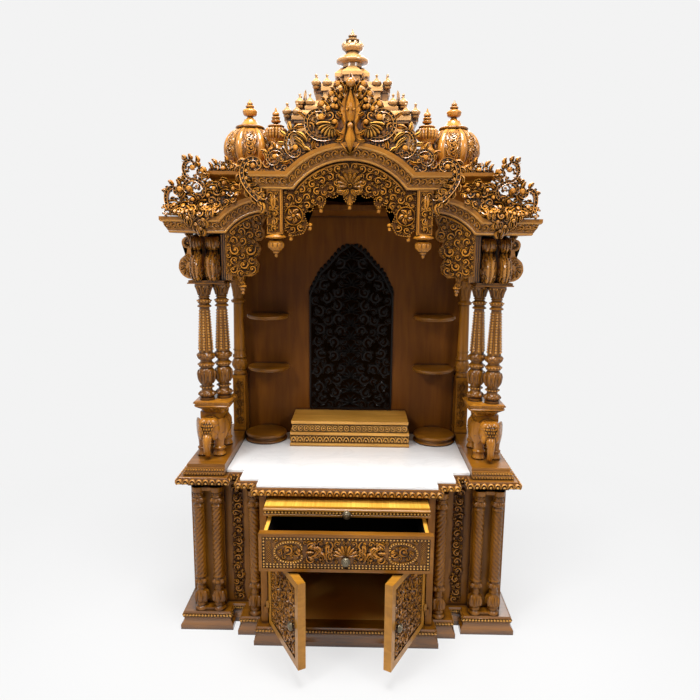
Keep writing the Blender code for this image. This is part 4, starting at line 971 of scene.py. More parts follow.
def lower_roll():
    """Round bead along the foot of a cornice."""
    return oval(-0.003, 0.0062, 0.007, 0.0062, 13)[:-1]


def upper_roll():
    """Thick round along the head of a cornice."""
    return oval(CORNICE_REACH - 0.0102, CORNICE_HEIGHT - 0.0102, 0.0102, 0.0102, 15)[:-1]


def base_course(z):
    """Line round the cabinet at the counter's edge, right half, from the back to the middle of the front."""
    return Course.through(z, [
        (WING_OUT, BACK, (1, 0)), (WING_OUT, WING_FRONT, (1, -1)), (WING_IN, WING_FRONT, (-1, -1)),
        (WING_IN, BAY_FRONT, (-1, -1)), (PIER_OUT, BAY_FRONT, (1, -1)), (PIER_OUT, PIER_FRONT, (1, -1)),
        (CENTRE_HALF, PIER_FRONT, (1, -1)), (CENTRE_HALF, CENTRE_FRONT, (1, -1)),
        (0.0, CENTRE_FRONT, (0, -1))])


def base_edges():
    """Scalloped rope round the counter and the bead row round the plinth."""
    rope, balls, roll, arches, ball_unit = (Shape() for _ in range(5))
    pitch = 0.026
    arch = oval(0, 0, 0.0122, 0.0225, 9, 0.02 * pi, 0.98 * pi)
    bar(arches, arch, 0.003, 0.0062, ROUND, 0.006)
    frond(arches, (pitch / 2, 0.022), -90, 0.018, 0, 0, 0.0034, 0.0052, 0.005, 1, 0.0, SLIM_BLADE, count=6)
    ball(ball_unit, 0.0, 0.0085, 0.0012, 0.0058, rows=3)
    course = base_course(COUNTER_UNDER)
    course.moulding(roll, oval(-0.004, 0.03, 0.0125, 0.0145, 17)[:-1])
    for made, unit in ((rope, arches), (balls, ball_unit)):
        course.repeat(made, unit, (0.005, 0.0165), (0.0065, 0.044), pitch)
    piece("counter_roll", both_sides(roll), "ground")
    piece("counter_rope", both_sides(rope), "highlight_teak")
    piece("counter_balls", both_sides(balls), "highlight_pale_teak")

    dots, lines, strip, bead = (Shape() for _ in range(4))
    ball(bead, 0, 0.008, 0.001, 0.0056, sides=6, rows=3)
    course = base_course(PLINTH_TOP - 0.0225)
    course.repeat(dots, bead, (0.001, 0.0), (0.001, 0.016), 0.0125)
    course.moulding(strip, [(0.0016, 0.001), (0.0016, 0.015), (-0.002, 0.015), (-0.002, 0.001)])
    for up in (0.0005, 0.0155):
        course.moulding(lines, oval(0.001, up, 0.0026, 0.0016, 9)[:-1])
    piece("plinth_beads", both_sides(dots), "highlight_pale_teak")
    piece("plinth_lines", both_sides(lines), "teak_across")
    piece("plinth_strip", both_sides(strip), "ground")


def twisted_column(shape, x, y, way=1):
    """Column of the cabinet with a rope-twisted shaft, carved vases and rings."""
    foot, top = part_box("wing_columns_right")[0].z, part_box("wing_columns_right")[1].z
    radius = 0.0225
    lower = ((1.18, 0.0), (1.18, 0.022, 0.1), (0.85, 0.032), (0.85, 0.042), (1.02, 0.052, 0.3), (0.92, 0.062),
             (1.16, 0.1, 0.15), (0.7, 0.165, 0.12), (0.66, 0.178), (0.86, 0.185, 0.4), (0.7, 0.193),
             (0.72, 0.215), (1.02, 0.248, 0.2), (0.8, 0.268), (0.8, 0.274), (1.06, 0.283, 0.4), (0.88, 0.293))
    upper = ((0.88, 0.846), (1.04, 0.853, 0.4), (0.8, 0.862), (0.76, 0.872), (1.04, 0.9, 0.25), (0.8, 0.92),
             (0.92, 0.928, 0.4), (0.78, 0.936), (1.12, 0.962, -0.15), (1.18, 0.968), (1.18, 1.0))
    tall = top - foot
    turned(shape, shares(lower, radius, foot, tall), x, y, 24)
    turned(shape, shares(upper, radius, foot, tall), x, y, 24)
    low, high = foot + 0.29 * tall, foot + 0.85 * tall
    rows = [(0.0222, low + (high - low) * k / 60) for k in range(61)]

    def rope(angle, z):
        return 0.72 + 0.28 * np.abs(np.cos(3 * (angle + way * 15.0 * (z - low) / (high - low)))) ** 0.6

    turned(shape, rows, x, y, 42, rope)
    for rows, share, reach, high, upright in ((lower, 0.066, 0.09, 0.0055, True),
            (lower, 0.262, 0.045, 0.0045, False), (upper, 0.876, 0.042, 0.0045, True)):
        profile = radius_of(shares(rows, radius, foot, tall))
        ring_of_leaves(shape, x, y, profile, foot + share * tall, reach * tall, 7, high, upright)
    ring_of_beads(shape, x, y, foot + 0.95 * tall, 0.0228, 12, 0.0036)


def base_columns():
    """Twisted columns of the wings and piers, and the carved strips between them."""
    wing_y = WING_FRONT + BODY_INSET / 2
    wing = Shape()
    low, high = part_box("wing_columns_right")
    for x in (WING_IN + 0.052, WING_OUT - 0.071):
        twisted_column(wing, x, wing_y, 1)
    for z0, z1 in ((low.z, low.z + 0.012), (high.z - 0.014, high.z)):
        box(wing, (low.x + 0.006, wing_y - 0.018, z0), (high.x - 0.006, wing_y + 0.018, z1))
    pair("wing_twists", wing, "column", "wing_columns")
    pier = Shape()
    twisted_column(pier, CENTRE_HALF + 0.019, PIER_FRONT + BODY_INSET / 2, -1)
    pair("pier_twist", pier, "column", "pier_column")

    strip, backing = Shape(), Shape()
    x, half = 0.4635, 0.0235
    field = oblong(x - half, PLINTH_TOP + 0.014, x + half, COUNTER_UNDER - 0.014)
    plate(backing, field, -0.001, 0.0006)
    foliage(strip, [field], 0.0175, 0.0055, 0.0125, 31)
    for label, carving, finish in (("strip", strip, "carved"), ("ground", backing, "ground")):
        pair(f"bay_{label}", carving.laid(front(BAY_FRONT + BAY_INSET)), finish)


def box(shape, low, high):
    """Plain block between two corners."""
    (x0, y0, z0), (x1, y1, z1) = low, high
    shape.loft([[(x0, y0, z), (x1, y0, z), (x1, y1, z), (x0, y1, z)] for z in (z0, z1)])


def vine(flat, x, low, tall, half, units):
    """Upright strip of scrolls and leaves that swing from side to side between two bead rows."""
    step = tall / units
    heights = np.linspace(0, tall, units * 6 + 1)
    stem = np.stack([x + half * 0.32 * np.sin(heights / step * pi), low + heights], 1)
    bar(flat, stem, half * 0.1, 0.005, ROUND, 0.001)
    for k in range(units):
        side = 1 if k % 2 else -1
        z = low + step * k
        foliate(flat, (x + side * half * 0.2, z), 90 - side * 25, step * 1.55, side * 60, side * 300,
                half * 0.12, 0.0062, 0.001, 3)
        frond(flat, (x - side * half * 0.25, z + step * 0.2), 90 + side * 50, step * 0.62, side * -60,
              side * -40, half * 0.26, 0.0055, 0.001, 3)
        ball(flat, x - side * half * 0.62, z + step * 0.42, 0.003, half * 0.15)
    for edge in (-1, 1):
        beads(flat, [(x + edge * half * 1.06, low), (x + edge * half * 1.06, low + tall)], 0.0105, 0.0026,
              0.001)


def scroll_at(flat, eye, heading, length, bend, coil, half, high, under=0.006, leaves=2, lift=0.0,
              beaded=False):
    """Foliate scroll placed by its eye."""
    path = curl((0, 0), heading, length, bend, coil, 16)
    foliate(flat, path[0] + np.asarray(eye) - path[-1], heading, length, bend, coil, half, high, under,
            leaves, lift, beaded)


def plate(flat, outline, back, face):
    """Flat board of an outline of (x, z) points, between two distances behind and before the plane."""
    flat.loft([[(x, z, w) for x, z in outline] for w in (back, face)])


def arch_edge(arch, up, first=0.0, last=1.0, steps=14):
    """Points of an arch's line, from foot to crown."""
    x, z = arch_point(arch, up, np.linspace(first, last, steps + 1))
    return list(zip(x, z))


def centre_crest():
    """Openwork crest over the portico: a bud, balled scrolls, a spear leaf, shells and beaded scrolls."""
    flat, shells = Shape(), Shape()
    edge = [(0.0, 2.12), (0.03, 2.14), (0.056, 2.148), (0.078, 2.116), (0.108, 2.082), (0.13, 2.058),
            (0.16, 2.03), (0.164, 1.996), (0.205, 1.99), (0.23, 1.955), (0.262, 1.928), (0.3, 1.9),
            (0.345, 1.896), (0.38, 1.872), (0.388, 1.842), (0.374, 1.812), (0.338, 1.838)]
    arch = arch_edge(PORTICO_ARCH, CORNICE_HEIGHT - 0.002)
    level = [(0.3, PORTICO_FOOT + CORNICE_HEIGHT)]
    ground = smooth([(0.0, 2.116), (0.04, 2.1), (0.085, 2.062), (0.128, 2.015), (0.168, 1.968), (0.212, 1.93),
                     (0.262, 1.892), (0.31, 1.866)], 2)
    plate(flat, [*ground, *level, *arch], -0.008, 0.002)
    middle = [(0.0, 1.93 + 0.03 * k, 0.03) for k in range(7)]
    foliage(flat, [[*edge, *level, *arch]], 0.0175, 0.007, 0.015, 5, middle, under=0.006)
    # balled scrolls beside the bud
    for x, z, size in ((0.045, 2.146, 1.0), (0.067, 2.113, 1.05), (0.1, 2.08, 1.1)):
        scroll_at(flat, (x, z), 62, 0.07 * size, -40, -300, 0.0066, 0.022, 0.008, 2)
        ball(flat, x, z, 0.02, 0.0098, sides=10)
    for x, z in ((0.034, 2.126), (0.036, 2.104), (0.052, 2.094), (0.06, 2.074), (0.078, 2.066),
                 (0.048, 2.072)):
        ball(flat, x, z, 0.016, 0.0088, sides=10)
        frond(flat, (x - 0.01, z - 0.012), 60, 0.026, -30, -60, 0.007, 0.018, 0.004, 2, count=8)
    # first beaded scroll with its inner coil and shell
    beaded_band(flat, [(0.102, 2.036), (0.09, 2.046), (0.104, 2.06), (0.135, 2.053), (0.155, 2.026),
                       (0.151, 1.994), (0.128, 1.97), (0.096, 1.962), (0.06, 1.968)], 0.0092, 0.025)
    scroll_at(flat, (0.054, 2.02), 200, 0.092, -170, -330, 0.0046, 0.026, 0.004, 0, 0.006)
    ball(flat, 0.054, 2.02, 0.026, 0.009, sides=10)
    for k in range(7):
        mid = curl((0.058, 2.014), 12 - 17 * k, 0.062 - 0.003 * k, -20, -16, 9)
        ridge(shells, mid, 0.0074, 0.025, 0.004, ROUND, 0.45, 1.15, 0.008)
    leaves(flat, ((0.152, 2.03, 60, 0.046), (0.156, 2.008, 10, 0.05), (0.146, 1.984, -25, 0.046),
                  (0.12, 1.966, -50, 0.04)), -30, -60, 0.011, 0.018, 0.006)
    # second beaded scroll with fronds towards the middle
    beaded_band(flat, [(0.193, 1.934), (0.18, 1.928), (0.182, 1.912), (0.2, 1.906), (0.222, 1.922),
                       (0.229, 1.95), (0.22, 1.978), (0.2, 1.993), (0.18, 1.988)], 0.008, 0.022)
    leaves(shells, ((0.196, 1.988, -165, 0.058), (0.2, 1.972, -155, 0.062), (0.194, 1.956, -160, 0.054),
                    (0.176, 1.936, -175, 0.046), (0.206, 1.99, 55, 0.036), (0.222, 1.974, 15, 0.034),
                    (0.228, 1.95, -15, 0.03)), 30, 40, 0.0105, 0.023, 0.006, 3, 0.003)
    # third scroll, then the end scroll whose tail falls over the cornice's end
    beaded_band(flat, [(0.267, 1.903), (0.256, 1.898), (0.258, 1.884), (0.276, 1.878), (0.292, 1.892),
                       (0.29, 1.912), (0.272, 1.927), (0.248, 1.924), (0.232, 1.906)], 0.007, 0.02)
    leaves(flat, ((0.292, 1.908, 60, 0.036), (0.3, 1.89, 100, 0.036), (0.244, 1.886, -160, 0.036),
                  (0.27, 1.928, 100, 0.03), (0.306, 1.874, 30, 0.036), (0.236, 1.916, 130, 0.03)),
           -40, -60, 0.0098, 0.019, 0.006)
    tail = beaded_band(flat, [(0.344, 1.871), (0.334, 1.862), (0.322, 1.872), (0.328, 1.89), (0.348, 1.896),
            (0.372, 1.884), (0.384, 1.858), (0.382, 1.826), (0.366, 1.796), (0.344, 1.77), (0.318, 1.748)],
                       0.0118, 0.026, 0.004, eye=0.85)
    for i, way in ((24, 20), (28, 0), (32, -25), (36, -45), (40, -60), (44, -80), (48, -95)):
        x, z = tail[i]
        frond(flat, (x, z), way, 0.036, -40, -60, 0.012, 0.02, 0.004, 3)
        frond(flat, (x, z), way - 165, 0.036, 40, 60, 0.012, 0.02, 0.004, 3)
    for i in (26, 30, 34, 38, 42, 46):
        x, z = tail[i]
        ball(flat, x - 0.014, z - 0.004, 0.014, 0.0082, sides=10)
        rosette_scroll(flat, x - 0.03, z + 0.002, 0.015, 20 * i, 1, 0.02, 0.006)
    frond(flat, tail[-1], -120, 0.046, 50, 60, 0.013, 0.02, 0.004, 3, count=10)
    made = both_sides(flat)
    # bud and spear leaf in the middle
    ball(made, 0.0, 2.152, 0.014, 0.018, 1.0, 14, 8)
    frond(made, (0.0, 2.15), 90, 0.032, 0, 0, 0.011, 0.03, 0.01, 2)
    for side in (-1, 1):
        frond(made, (side * 0.006, 2.126), 90 - side * 22, 0.046, side * 50, side * 50, 0.01, 0.026, 0.008, 2)
        frond(made, (side * 0.008, 2.112), 90 - side * 42, 0.04, side * 50, side * 60, 0.0095, 0.024, 0.008,
              2)
    mound(made, [(2.132, 0.006, 0.02), (2.112, 0.02, 0.028), (2.088, 0.036, 0.032), (2.064, 0.044, 0.032),
                 (2.04, 0.038, 0.03), (2.012, 0.024, 0.03), (1.994, 0.026, 0.032), (1.976, 0.034, 0.034)])
    mound(made, [(2.024, 0.008, 0.036), (2.006, 0.024, 0.042), (1.984, 0.036, 0.046), (1.962, 0.05, 0.048),
                 (1.946, 0.044, 0.05), (1.93, 0.026, 0.048), (1.912, 0.004, 0.04)])
    for side in (-1, 1):
        for z, way, size, lift in ((2.096, 38, 0.03, 0.004), (2.07, 20, 0.032, 0.004),
                (2.044, -8, 0.03, 0.004), (1.976, 0, 0.036, 0.018), (1.962, -40, 0.034, 0.018)):
            frond(made, (side * 0.022, z), 90 - side * (90 - way), size, side * 40, side * 60, 0.0095, 0.028,
                  0.004, 2, lift)
        ball(made, side * 0.012, 2.06, 0.03, 0.005)
    ball(made, 0.0, 2.006, 0.034, 0.0105, 1.0, 12, 6)
    place = front(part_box("centre_crest")[0].y + 0.022)
    piece("centre_crest_carving", made.laid(place), "crest", replaces=("centre_crest",))
    piece("centre_crest_shells", both_sides(shells).laid(place), "highlight_pale_teak")


def corner_crest():
    """Openwork crest over each side arch, which climbs to a ball and falls over the cornice."""
    flat = Shape()
    ground = [(0.69, 1.702), (0.668, 1.745), (0.625, 1.752), (0.59, 1.775), (0.54, 1.8), (0.478, 1.812),
              (0.43, 1.8)]
    under = arch_edge(SIDE_ARCH, CORNICE_HEIGHT - 0.004, 0.0, 0.42, 8)
    board = Shape()
    plate(board, ground + list(reversed(under)), -0.008, 0.0)
    ball(flat, 0.616, 1.909, 0.008, 0.0098, sides=10, rows=6)
    beaded_band(flat, [(0.585, 1.874), (0.578, 1.884), (0.586, 1.897), (0.603, 1.898), (0.616, 1.884),
                       (0.618, 1.862), (0.608, 1.842), (0.592, 1.832), (0.574, 1.836)], 0.0078, 0.022)
    beaded_band(flat, [(0.549, 1.864), (0.556, 1.871), (0.566, 1.864), (0.564, 1.85), (0.55, 1.842),
                       (0.534, 1.847), (0.53, 1.857)], 0.0062, 0.02)
    beaded_band(flat, [(0.6, 1.799), (0.608, 1.79), (0.617, 1.798), (0.615, 1.815), (0.6, 1.828),
                       (0.579, 1.83), (0.557, 1.82), (0.543, 1.8), (0.545, 1.778), (0.56, 1.766)], 0.0086,
                0.024)
    beaded_band(flat, [(0.634, 1.796), (0.628, 1.785), (0.638, 1.776), (0.652, 1.784), (0.654, 1.8),
                       (0.668, 1.802), (0.684, 1.786), (0.688, 1.762), (0.684, 1.738), (0.674, 1.718)], 0.009,
                0.024)
    leaves(flat, ((0.61, 1.898, 80, 0.026), (0.596, 1.9, 110, 0.026), (0.572, 1.89, 120, 0.03),
                  (0.566, 1.874, 100, 0.026), (0.612, 1.846, -20, 0.024), (0.53, 1.846, 30, 0.03),
                  (0.54, 1.856, 80, 0.028), (0.62, 1.822, 60, 0.03), (0.64, 1.806, 100, 0.03),
                  (0.664, 1.808, 80, 0.026), (0.684, 1.786, 40, 0.022), (0.56, 1.828, 120, 0.03),
                  (0.544, 1.806, 160, 0.03), (0.59, 1.808, -60, 0.036), (0.64, 1.76, 150, 0.045),
                  (0.618, 1.768, 60, 0.04)), -30, -70, 0.0115, 0.02, 0.006)
    foliage(flat, face_loops("corner_crest_right"), 0.0175, 0.007, 0.015, 14,
            [(0.592, 1.858, 0.01), (0.664, 1.77, 0.015)], -0.001, under=0.006)
    # low scrolls that spread over the cornice's roll
    for x, z, way, turn, size in ((0.658, 1.742, 160, 1, 0.07), (0.622, 1.738, 20, -1, 0.068),
            (0.588, 1.76, 170, 1, 0.072), (0.556, 1.742, 10, -1, 0.07), (0.604, 1.716, 200, 1, 0.06),
            (0.648, 1.716, -20, -1, 0.06), (0.53, 1.775, 30, -1, 0.06), (0.508, 1.8, 150, 1, 0.075),
            (0.472, 1.782, 20, -1, 0.07), (0.47, 1.82, 160, 1, 0.052), (0.436, 1.8, 10, -1, 0.06),
            (0.424, 1.78, 160, 1, 0.05)):
        scroll_at(flat, (x, z), way, size, turn * 60, turn * 260, 0.0055, 0.019, 0.006, 3)
        ball(flat, x, z, 0.015, 0.008)
    # cluster that hangs over the cornice beside the arch's foot
    hanging = np.array([(0.64, 1.735), (0.632, 1.7), (0.612, 1.676), (0.59, 1.664), (0.572, 1.64),
                        (0.556, 1.636), (0.54, 1.656), (0.522, 1.69), (0.498, 1.712), (0.48, 1.745),
                        (0.5, 1.77), (0.56, 1.75)])
    foliage(flat, [hanging], 0.018, 0.0072, 0.016, 23, under=0.002)
    for x, z in ((0.602, 1.69), (0.575, 1.668), (0.545, 1.684), (0.56, 1.652), (0.62, 1.712), (0.52, 1.722),
                 (0.59, 1.722)):
        ball(flat, x, z, 0.012, 0.008)
        frond(flat, (x + 0.004, z + 0.004), -60, 0.034, -40, -60, 0.011, 0.017, 0.002, 3)
        frond(flat, (x - 0.004, z + 0.004), -120, 0.034, 40, 60, 0.011, 0.017, 0.002, 3)
    frond(flat, (0.57, 1.67), -80, 0.042, -30, -40, 0.01, 0.016, 0.002, 3, 0.006)
    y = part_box("corner_crest_right")[0].y + 0.02
    made = flat.laid(draped(y))
    made.put(board, front(y))
    pair("corner_crest_carving", made, "crest", "corner_crest")

    deck = Shape()
    scroll_at(deck, (0.483, 1.879), 150, 0.12, -70, -250, 0.007, 0.018, 0.01, 3, 0.0, True)
    scroll_at(deck, (0.452, 1.884), 60, 0.075, 60, 230, 0.0058, 0.016, 0.01, 3)
    leaves(deck, ((0.529, 1.872, 95, 0.034), (0.51, 1.888, 80, 0.034), (0.428, 1.874, 70, 0.036),
                  (0.475, 1.898, 110, 0.03)), -30, -60, 0.01, 0.016, 0.008)
    ball(deck, 0.484, 1.879, 0.013, 0.0105, sides=10, rows=6)
    field = [(0.545, DECK_TOP), (0.536, 1.876), (0.518, 1.894), (0.503, 1.91), (0.47, 1.914), (0.436, 1.904),
             (0.418, 1.884), (0.412, DECK_TOP)]
    foliage(deck, [field], 0.0145, 0.006, 0.018, 19, [(0.484, 1.879, 0.014)], under=0.006)
    low = DECK_TOP + 0.002
    plate(deck, [(0.545, low - 0.004), (0.54, low + 0.01), (0.42, low + 0.01), (0.415, low - 0.004)], -0.01,
          0.004)
    pair("deck_scroll", deck.laid(front(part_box("roof_deck")[0].y + 0.03)), "crest")


def valances():
    """Carved faces of the hanging boards, with their rims and drops."""
    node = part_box("centre_valance")
    face, low, top = node[0].y, node[0].z, node[1].z
    outline = half_loop("centre_valance")
    flat = Shape()
    bar(flat, arch_edge(PORTICO_ARCH, -0.008, 0.0, 1.0, 18), 0.005, 0.0085)
    beads(flat, arch_edge(PORTICO_ARCH, -0.0165, 0.02, 1.0, 18), 0.0082, 0.0028, 0.001)
    bar(flat, arch_edge(PORTICO_ARCH, -0.026, 0.16, 0.8, 14), 0.0022, 0.006)
    lobe = (0.203, 1.7)
    foliage(flat, [outline], 0.015, 0.0052, 0.0095, 8, [(*lobe, 0.032), (0.0, top - 0.068, 0.034)], 0.004)
    for k in range(5):
        angle = radians(90 + 72 * k)
        frond(flat, lobe, 90 + 72 * k, 0.03, 60, 80, 0.0115, 0.0115, CRUST, 3)
        x, z = lobe[0] + 0.026 * cos(angle + 0.6), lobe[1] + 0.026 * sin(angle + 0.6)
        ball(flat, x, z, 0.004, 0.0042)
    ball(flat, *lobe, 0.009, 0.0065, sides=10)
    bar(flat, oval(*lobe, 0.0335, 0.0335, 25), 0.0026, 0.009)
    fan(flat, 0.0, top - 0.086, 0.05, 185, -5, 9, 0.012)
    ball(flat, 0.0, top - 0.086, 0.006, 0.0085, sides=10)
    for k in range(3):
        frond(flat, (0.004 + 0.006 * k, top - 0.094 - 0.004 * k), -70 + 25 * k, 0.034, 20, 30, 0.0085, 0.011,
              CRUST, 3)
    rim = places_along(outline[outline[:, 1] < 1.846], 0.0085)
    beads(flat, rim[(rim[:, 0] < 0.238) & (rim[:, 0] > 0.004)], 0.0085, 0.003, 0.001)
    backing = Shape()
    plate(backing, outline[outline[:, 0] > 0.0], -0.002, 0.0004)
    piece("centre_valance_carving", both_sides(flat).laid(front(face)), "carved")
    piece("centre_valance_ground", both_sides(backing).laid(front(face)), "ground")

    drops = Shape()
    middle = face + 0.009
    for x, z in ((0.0, low_edge(0.0)), (0.105, low_edge(0.105)), (0.146, low_edge(0.146)),
                 (0.215, low + 0.004)):
        for side in ((-1, 1) if x else (1,)):
            rows = [(0.0015, z - 0.022), (0.0065, z - 0.015, 0.3), (0.004, z - 0.008, 0.2),
                    (0.0095, z - 0.004), (0.0095, z + 0.001), (0.004, z + 0.006)]
            turned(drops, rows, side * x, middle, 14)
    piece("valance_drops", drops, "carved")

    flat = Shape()
    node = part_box("side_valance_right")
    face = node[0].y
    bar(flat, arch_edge(SIDE_ARCH, -0.008, 0.05, 1.0, 12), 0.0045, 0.008)
    beads(flat, arch_edge(SIDE_ARCH, -0.0165, 0.1, 1.0, 12), 0.0082, 0.0028, 0.001)
    eyes = [(0.436, 1.575, 0.02), (0.378, 1.575, 0.022), (0.404, 1.52, 0.018)]
    foliage(flat, face_loops("side_valance_right"), 0.0165, 0.0055, 0.0095, 4, eyes, 0.002)
    for (x, z, r), turn in zip(eyes, (-1, 1, 1)):
        rosette_scroll(flat, x, z, r * 1.1, 90 + turn * 60, turn, 0.012, CRUST, 0.001)
        ball(flat, x, z, 0.008, r * 0.34, sides=10)
    made = flat.laid(front(face))
    z = node[0].z + 0.003
    turned(made, [(0.0015, z - 0.03), (0.0055, z - 0.023, 0.3), (0.0035, z - 0.016), (0.01, z - 0.01, 0.3),
                  (0.006, z - 0.004), (0.0145, z - 0.002), (0.0145, z + 0.002), (0.006, z + 0.01)], 0.412,
           face + 0.009, 16)
    pair("side_valance_carving", made, "carved")


def low_edge(x):
    """Height of the centre valance's lower edge at a distance from its middle."""
    points = np.array([v.co for v in frame["nodes"]["centre_valance"].data.vertices])
    near = points[np.abs(np.abs(points[:, 0]) - x) < 0.014]
    return float(near[:, 2].min())


def hanging_post():
    """Carved post, its pilaster edge, plate, ball and tip."""
    low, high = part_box("hanging_post_right")
    x0, x1 = 0.242, 0.299
    foot = PORTICO_FOOT - 0.158
    middle_x, middle_y = (x0 + x1) / 2, (low.y + high.y) / 2
    post = Shape()
    y0, y1 = middle_y - 0.0245, middle_y + 0.0245
    box(post, (x0, y0, foot), (x1, y1, high.z))
    box(post, (x0 + 0.004, y0 - 0.003, foot + 0.006), (x0 + 0.009, y0 + 0.001, high.z))
    rows = ((0.03, 0.0), (0.16, 0.1, 0.2), (0.1, 0.17), (0.34, 0.24, 0.2), (0.3, 0.29), (0.62, 0.36, 0.15),
            (0.76, 0.52, 0.15), (0.66, 0.68, 0.15), (0.36, 0.76), (0.4, 0.79), (1.0, 0.84), (1.04, 0.9, 0.2),
            (0.8, 0.98), (0.74, 1.0))
    drop = shares(rows, (x1 - x0) / 2 + 0.008, foot - 0.084, 0.084)

    def grooves(angle, z):
        return 1 - 0.1 * np.abs(np.sin(6 * angle)) ** 4 * (z < foot - 0.018)

    turned(post, drop, middle_x, middle_y, 60, grooves)
    ring_of_leaves(post, middle_x, middle_y, radius_of(drop), foot - 0.052, 0.026, 10, 0.0024)
    flat, backing = Shape(), Shape()
    field = oblong(x0 + 0.012, foot + 0.006, x1 - 0.003, high.z - 0.006)
    plate(backing, field, *GROUND)
    foliage(flat, [field], 0.0135, 0.005, 0.0085, 41)
    pair("post_ground", backing.laid(front(y0)), "ground")
    centre = x0 + 0.033
    frond(flat, (centre, high.z - 0.012), -90, 0.06, 0, 0, 0.015, 0.008, 0.001, 4, count=12)
    frond(flat, (centre, foot + 0.018), 90, 0.04, 0, 0, 0.011, 0.007, 0.001, 3, count=10)
    for k in range(5):
        ball(flat, centre, foot + 0.06 + 0.007 * k, 0.0, 0.0034)
    for side in (-1, 1):
        frond(flat, (centre, foot + 0.016), 90 - side * 40, 0.028, side * 70, 0, 0.006, 0.0065, 0.001, 3)
        frond(flat, (centre, high.z - 0.06), -90 + side * 30, 0.026, side * 60, 0, 0.0055, 0.0065, 0.001, 3)
    post.put(flat, front(y0))
    pair("carved_post", post, "carved", "hanging_post")


def twin_columns():
    """Two turned and jewelled columns under one abacus."""
    radius, foot = 0.033, CONSOLE_TOP
    (x0, y0, _), (x1, y1, _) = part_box("twin_columns_right")
    tall = ABACUS_TOP - ABACUS - foot
    made, jewels = Shape(), Shape()
    lower = ((0.93, 0.0), (0.93, 0.022), (0.8, 0.028), (0.8, 0.036), (0.98, 0.056, 0.3), (0.8, 0.074),
             (0.68, 0.086, -0.1), (0.66, 0.104), (0.8, 0.112, 0.4), (0.66, 0.12), (0.7, 0.139),
             (0.97, 0.205, 0.1), (1.00, 0.245, 0.1), (0.74, 0.282, 0.1), (0.74, 0.29), (0.93, 0.303, 0.4),
             (0.93, 0.322, 0.4), (0.72, 0.336), (0.74, 0.35), (0.97, 0.378, 0.25), (0.97, 0.398, 0.2),
             (0.82, 0.412), (0.86, 0.418))
    upper = ((0.62, 0.8), (0.7, 0.803), (0.86, 0.813, 0.4), (0.66, 0.824), (0.62, 0.832), (0.8, 0.85, 0.3),
             (0.8, 0.862, 0.3), (0.6, 0.876), (0.62, 0.884), (0.74, 0.889, 0.4), (0.62, 0.896), (0.66, 0.905),
             (0.98, 0.975, -0.1), (1.1, 0.985), (1.1, 1.0))
    for x, y in ((0.597, -0.085), (0.535, -0.045)):
        base, cap = shares(lower, radius, foot, tall), shares(upper, radius, foot, tall)
        turned(made, base, x, y, 26)
        turned(made, cap, x, y, 26)
        turned(made, [(0.86 * radius, foot + 0.414 * tall), (0.62 * radius, foot + 0.804 * tall)], x, y, 8,
               spin=pi / 8)
        for rows, share, reach, count, high in ((base, 0.142, 0.118, 8, 0.0065),
                (base, 0.028, 0.046, 10, 0.005), (base, 0.362, 0.048, 8, 0.0055),
                (cap, 0.9, 0.08, 8, 0.0075)):
            ring_of_leaves(made, x, y, radius_of(rows), foot + share * tall, reach * tall, count, high)
        for share, reach, count, size in ((0.978, 1.02, 14, 0.0042), (0.312, 0.98, 16, 0.0042),
                (0.115, 0.84, 14, 0.0036), (0.856, 0.84, 14, 0.0038)):
            ring_of_beads(jewels, x, y, foot + share * tall, radius * reach, count, size)
        for side in range(8):
            angle = 2 * pi * side / 8
            for k in range(15):
                share = (k + 0.6) / 15.4
                reach = radius * (0.86 - 0.24 * share) * 0.955
                ball(jewels, x + reach * cos(angle), y + reach * sin(angle),
                     foot + (0.43 + 0.355 * share) * tall, 0.0062 - 0.0012 * share, sides=8, rows=3)
    pair("column_jewels", jewels, "highlight_teak")
    for inset, under, over in ((0.0, ABACUS, 0.009), (0.004, 0.01, 0.0)):
        box(made, (x0 + inset, y0 + inset, ABACUS_TOP - under), (x1 - inset, y1 - inset, ABACUS_TOP - over))
    pair("jewelled_columns", made, "column", "twin_columns")


def outline_mapping(points, x):
    """Mapping on a strip whose up follows an outline of (reach forward, z), and its length."""
    line = np.array(points)
    runs = np.concatenate([[0], np.cumsum(np.linalg.norm(np.diff(line, axis=0), axis=1))])
    ahead = np.gradient(line, axis=0)
    ahead /= np.linalg.norm(ahead, axis=1)[:, None]
    normal = np.stack([ahead[:, 1], -ahead[:, 0]], 1)

    def mapping(p):
        reach = np.interp(p[:, 1], runs, line[:, 0]) + p[:, 2] * np.interp(p[:, 1], runs, normal[:, 0])
        z = np.interp(p[:, 1], runs, line[:, 1]) + p[:, 2] * np.interp(p[:, 1], runs, normal[:, 1])
        return np.stack([x + p[:, 0], -reach, z], 1)
    return mapping, runs[-1]


def bracket_line(root, reach, low, high, steps=10):
    """Front outline of a scroll bracket from its foot up: a large scroll and a small one above."""
    tall = high - low
    big, small = 0.27 * tall, 0.13 * tall
    angles = np.linspace(-0.62 * pi, 0.4 * pi, steps)
    line = [(root + reach - big + big * cos(a), low + big + big * sin(a)) for a in angles]
    line.append((root + 0.52 * reach, low + 0.6 * tall))
    line.append((root + 0.5 * reach, low + 0.66 * tall))
    angles = np.linspace(-0.5 * pi, 0.5 * pi, steps - 2)
    line += [(root + 0.8 * reach - small + small * cos(a), high - small - 0.012 + small * sin(a))
             for a in angles]
    return line


def volute(u, z, r, half, high, eye):
    """Raised coil on a bracket's side, round its eye at (u, z)."""
    cut = Shape()
    spiral = curl((0, 0), 200, r * 4.2, -160, -420, 26, 1.6)
    ridge(cut, spiral - spiral[-1] + (u, z), half, high, 0.001, ROUND, 1, 0.6)
    ball(cut, u, z, 0.001, eye)
    return cut


